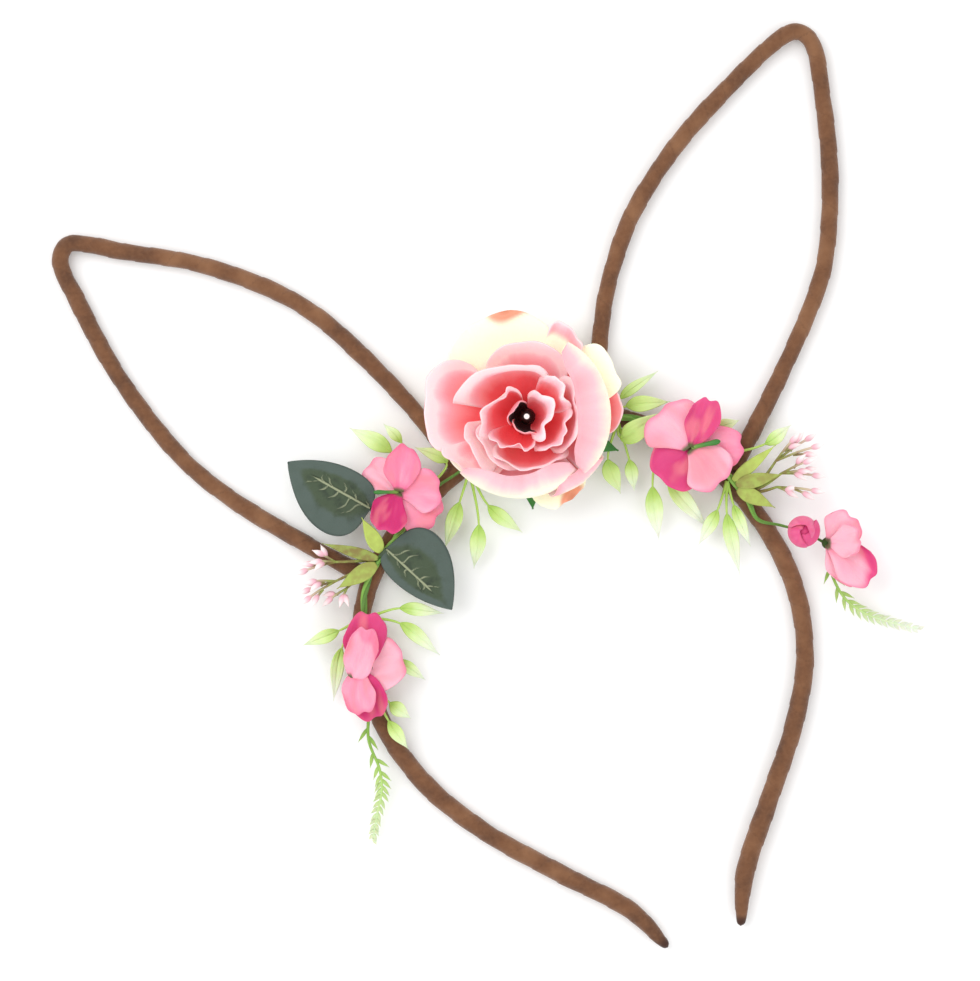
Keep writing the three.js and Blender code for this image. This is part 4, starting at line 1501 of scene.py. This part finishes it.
@dataclass
class Stem:
    """A green stem of twisted strands along the front of the band."""

    node: str
    first: float
    last: float
    rows: int
    tail: Sequence[Point] = ()
    strands: int = 3
    strand_radius: float = 0.56
    strand_shift: float = 0.52
    strand_pitch: float = 21.0
    grain: float = 0.6
    end_round: float = 1.1
    thin_run: Flat = (16.0, 34.0)
    thin_share: float = 0.42

    def build(self, wire: WireFrame) -> None:
        """Make the strands.

        Args:
            wire: Frame whose band carries the stem.
        """
        stations = np.linspace(self.first, self.last, self.rows + 1)
        line = Spline([*map(wire.stem_point, stations), *self.tail])
        share, run = line.even(self.grain)
        x, y, _ = line.heading(share).T
        left = run[-1] - run
        ends = np.sqrt(np.clip(np.minimum(run, left) / self.end_round, 0.02, 1))
        ends = ends * (self.thin_share + (1 - self.thin_share) * smooth(left, *self.thin_run))
        shell = Shell()
        for k in range(self.strands):
            turn = run / self.strand_pitch * 2 * math.pi + k * 2 * math.pi / self.strands + np.sin(run / 7)
            ring = stacked(-y * np.cos(turn), x * np.cos(turn), np.sin(turn))
            middle = line.at(share) + self.strand_shift * ends[:, None] * ring
            shade = ends * (0.25 + 0.3 * k + 0.2 * np.sin(run / 9 + k))
            shell.tube(middle, self.strand_radius * ends, 12, along=shade)
        shell.piece(self.node, "wire", "stem", STEM_FINISH.material())


@dataclass
class Garland:
    """Everything that grows along the band besides the rose."""

    stems: Sequence[Stem] = (
        Stem("stem_left", 5.15, 8.65, 14),
        Stem("stem_right", 9.55, 12.1, 10, ((64, -19, STEM_Z), (70, -23, STEM_Z), (75, -28.5, STEM_Z))),
    )
    blossoms: Sequence[Blossom] = (
        Blossom("blossom_upper_left", (-42, 26), (
            BlossomRow(117, 12.4, 12, -2.6, 0, 0.08), BlossomRow(-58, 14.4, 15, 2, 1, 0.3),
            BlossomRow(-8, 12.8, 13, 3.6, 1, 0.3), BlossomRow(-135, 12.6, 11, 4, 0, 0.98),
            BlossomRow(62, 13.2, 11, 3, 1, 0.4, -1.2),
        ), stalk=((-38, 18.5),)),
        Blossom("blossom_lower_left", (-67, -20.5), (
            BlossomRow(-8, 14.6, 15, 0.6, 1, 0.05), BlossomRow(56, 18, 12.5, 2, 2, 0.82),
            BlossomRow(-80, 15.5, 11, 1, 1, 0.9), BlossomRow(-106, 13, 9.4, 3, 0, 0.28, foot=0.3, swell=0.6),
            BlossomRow(57, 16, 9.5, 3.6, 0, 0.2, start=-2.4, foot=0.3, swell=0.5),
        ), shift=(-3.2, -0.3)),
        Blossom("blossom_upper_right", (46, 11.5), (
            BlossomRow(-156, 13.4, 16, 3, 1, 0.84), BlossomRow(-18, 15.6, 13, 2, 1, 0.34),
            BlossomRow(-62, 14.0, 15, 3.4, 1, 0.14), BlossomRow(104, 14.8, 19, 2, 1, 0.16),
            BlossomRow(49, 15.6, 10, 4, 0, 0.74),
        ), shift=(-1.0, 0.1)),
        Blossom("blossom_lower_right", (75, -28), (
            BlossomRow(-74, 15, 10, 2, 1, 0.1), BlossomRow(26, 11, 12, 3, 1, 0.12),
            BlossomRow(-52, 17.2, 12, 3, 0.5, 0.14, blush=0.72), BlossomRow(-15, 9.4, 9.4, 5, 0, 0.06),
        )),
    )
    pistils: Sequence[Pistil] = (
        Pistil("pistil_upper_left", (-42.2, 26.1), (-49, 28.2)),
        Pistil("pistil_upper_right", (45.4, 11.6), (53.8, 10.8), 1.8),
    )
    dark_leaves: Sequence[DarkLeaf] = (
        DarkLeaf("leaf_upper", (-46, 14.8), (-51.5, 24), (-70.6, 44.7), 13, 7.5, 2, -4),
        DarkLeaf("leaf_lower", (-53, 9.5), (-50.7, 10.9), (-37.7, -12.3), 13.4, 5.6, 1, 14),
    )
    sprays: Sequence[Spray] = (
        Spray("spray_upper_left", 7.85, Side.OUTER, (
            ((-40.3, 38), (-50.1, 48.8), 6.5, 5), ((-36.6, 39.7), (-40, 46.8), 4, 7),
            ((-25.7, 29.8), (-33.3, 37.3), 5, 7.5, 0.1),
        )),
        Spray("spray_under_rose", 8.35, Side.INNER, (
            ((-25.6, 17.5), (-34.1, 5.7), 6, 3, 0.3), ((-22.2, 9.4), (-27.7, -2.7), 6, 3, 0.5),
            ((-17.8, 14), (-10.6, 3.1), 5.5, 3.5, 0.3),
        )),
        Spray("spray_right_of_rose", 10.05, Side.OUTER, (
            ((30.5, 29.4), (43.5, 26.6), 6, 8, 0.0), ((29.5, 32), (43, 36.5), 4, 5, 0.3),
        )),
        Spray("spray_beside_rose", 10.1, Side.INNER, (
            ((20.5, 16), (21, 5.1), 6.5, 4, 0.1), ((26.5, 14), (25.2, 4.5), 5, 3, 0.6),
            ((26, 21.2), (40.5, 24.2), 8, 9.6, 0.0, 8.7),
        )),
        Spray("spray_under_right", 10.6, Side.INNER, (
            ((30.7, 4.2), (27.7, -11.8), 6.5, 2, 0.85), ((36, 5), (42.8, -13), 6.5, 2.5, 0.85),
        )),
        Spray("spray_right_inner", 11.55, Side.INNER, (
            ((47, -8.5), (38.4, -16.9), 5, 3, 0.85), ((49.3, -10.4), (47.5, -29.2), 5.5, 2.5, 0.85),
            ((52, -8.5), (53, -22), 4.5, 6.5, 0.7),
        )),
        Spray("spray_right_outer", 11.25, Side.OUTER, (
            ((53.5, 14), (61.5, 15), 5, 7.5, 0.3), ((66.5, 5.8), (75.7, 8.8), 5, 6, 0.6),
        )),
        Spray("spray_left_outer", 6.05, Side.OUTER, (
            ((-71.7, -7.9), (-83.6, -8.8), 5, 4, 0.3), ((-72.5, -13), (-80, -27.5), 5, 3, 0.7),
        )),
        Spray("spray_left_inner", 6.1, Side.INNER, (
            ((-52.5, -7.1), (-40.4, -12.7), 5, 4, 0.6), ((-53.8, -11.4), (-45.4, -24.3), 5.5, 3, 0.7),
            ((-57.2, -21.5), (-51.8, -30), 4.5, 3.5, 0.6),
        )),
        Spray("spray_tail_left", 5.3, Side.INNER, (
            ((-64, -33), (-59.5, -39.5), 5.5, 5.5, 0.5), ((-66, -38), (-63, -48), 5, 7, 0.3),
        )),
    )
    sprigs: Sequence[Sprig] = (
        Sprig("sprig_left", 6.85, Side.OUTER, (
            Fork((-66.5, 12, 8), ((-72, 17.5, 7), (-74.1, 14.2, 10.5), (-79.2, 12, 8))),
            Fork((-68, 6.5, 8.5), ((-77.5, 9, 11), (-80, 6.2, 7), (-80.5, 3, 9.5))),
            Fork((-65.5, 3.5, 7.5), ((-74.4, 0.5, 6.5), (-69.5, -1.5, 8))),
        ), (
            Bract((-52.5, 10.5), (-54.8, 22.2), 10, 4.6, 1.0), Bract((-54, 9), (-68.5, 18.5), 8.5, 3.4, 0.1),
            Bract((-55, 7.5), (-68.5, 4.2), 8.5, 5.0, 0.5),
        )),
        Sprig("sprig_right", 11.8, Side.OUTER, (
            Fork((68, 0, 8), ((77.5, 5.8, 9), (82.4, 4, 7), (83.4, 0.3, 10.5))),
            Fork((68.5, -4, 9), ((79.5, -3, 12), (77.2, -6.3, 9.5), (80.7, -9.2, 7))),
            Fork((66, -7.5, 7.5), ((79, -13.5, 10), (71, -12.6, 8))),
        ), (
            Bract((54, -1.5), (69.5, 4.6), 9, 3.6, 0.9), Bract((54.5, -3), (68.6, -4.3), 9.5, 4.4, 0.4),
            Bract((54.5, -4.5), (63.5, -13.2), 8.5, 4.6, 0.6),
        )),
    )
    ferns: Sequence[Fern] = (
        Fern("fern_left", ((-69.15, -30.3, STEM_Z), (-73.4, -41.4, 6.5), (-73.1, -51.3, 5.5),
                           (-74.5, -57.5, 4.5), (-78.3, -64.2, 3.5), (-81.5, -70.3, 2.5))),
        Fern("fern_right", ((75.05, -28.7, STEM_Z), (73.6, -38, 6.5), (75.3, -45.9, 5.5),
                            (79.7, -51.8, 4.5), (86, -56.6, 3.5), (93.3, -61.2, 2.5)), fade=1.0),
    )

    def build(self, wire: WireFrame) -> None:
        """Make all of the garland.

        Args:
            wire: Frame that carries it.
        """
        for stem in self.stems:
            stem.build(wire)
        for flower in (*self.blossoms, Bud(), *self.pistils, *self.dark_leaves):
            flower.build()
        for twig in (*self.sprays, *self.sprigs):
            twig.build(wire)
        for fern in self.ferns:
            fern.build()


@dataclass
class Studio:
    """Pale floor, soft light and the camera straight above."""

    middle: Flat = (-0.0159, 0.018)
    turn: float = -18.0
    distance: float = 1.4
    band_height: float = 0.003
    view_width: float = 0.294
    sensor: float = 36.0
    floor_half: float = 3.0
    floor_drop: float = -0.0004
    sky: float = 0.88

    def build_floor(self) -> None:
        """Lay the floor under the headband."""
        graph = Graph("studio_floor")
        material = graph.finish(graph.mix(graph.grain(40.0), "#fbfbfb", "#fdfdfd"), 0.9)
        mesh = bpy.data.meshes.new("studio_floor")
        corners = ((-1, -1), (1, -1), (1, 1), (-1, 1))
        mesh.from_pydata([(x * self.floor_half, y * self.floor_half, self.floor_drop) for x, y in corners],
                         [], [(0, 1, 2, 3)])
        mesh.materials.append(material)
        floor = bpy.data.objects.new("studio_floor", mesh)
        bpy.context.scene.collection.objects.link(floor)

    def add_light(self, name: str, place: Point, size: float, power: float) -> None:
        """Hang one soft light that faces the headband.

        Args:
            name: Name of the light.
            place: Where it hangs, in metres.
            size: Width of its panel.
            power: Power in watts.
        """
        lamp = bpy.data.lights.new(name, "AREA")
        lamp.shape = "DISK"
        lamp.size = size
        lamp.energy = power
        light = bpy.data.objects.new(name, lamp)
        x, y, z = place
        light.location = place
        light.rotation_euler = (math.atan2(math.hypot(x, y), z), 0, math.atan2(y, x) + math.pi / 2)
        bpy.context.scene.collection.objects.link(light)

    def build(self) -> None:
        """Set up floor, light and camera."""
        scene = bpy.context.scene
        self.build_floor()
        self.add_light("key_light", (-0.5, 0.6, 1.0), 1.1, 7.0)
        self.add_light("fill_light", (0.5, -0.8, 1.0), 1.2, 4.0)
        world = bpy.data.worlds.new("studio_sky")
        world.use_nodes = True
        backdrop = world.node_tree.nodes["Background"]
        backdrop.inputs["Color"].default_value = (1.0, 1.0, 1.0, 1.0)
        backdrop.inputs["Strength"].default_value = self.sky
        scene.world = world
        scene.view_settings.view_transform = "Standard"
        lens = bpy.data.cameras.new("front_camera")
        lens.sensor_width = self.sensor
        lens.lens = self.sensor * (self.distance - self.band_height) / self.view_width
        camera = bpy.data.objects.new("front_camera", lens)
        camera.location = (*self.middle, self.distance)
        camera.rotation_euler = (0, 0, math.radians(self.turn))
        scene.collection.objects.link(camera)
        scene.camera = camera


def main() -> None:
    """Build the headband and its studio."""
    logging.basicConfig(level=logging.INFO, format="%(message)s")
    wire = WireFrame()
    wire.build()
    Rose().build()
    Garland().build(wire)
    Studio().build()


if __name__ == "__main__":
    main()
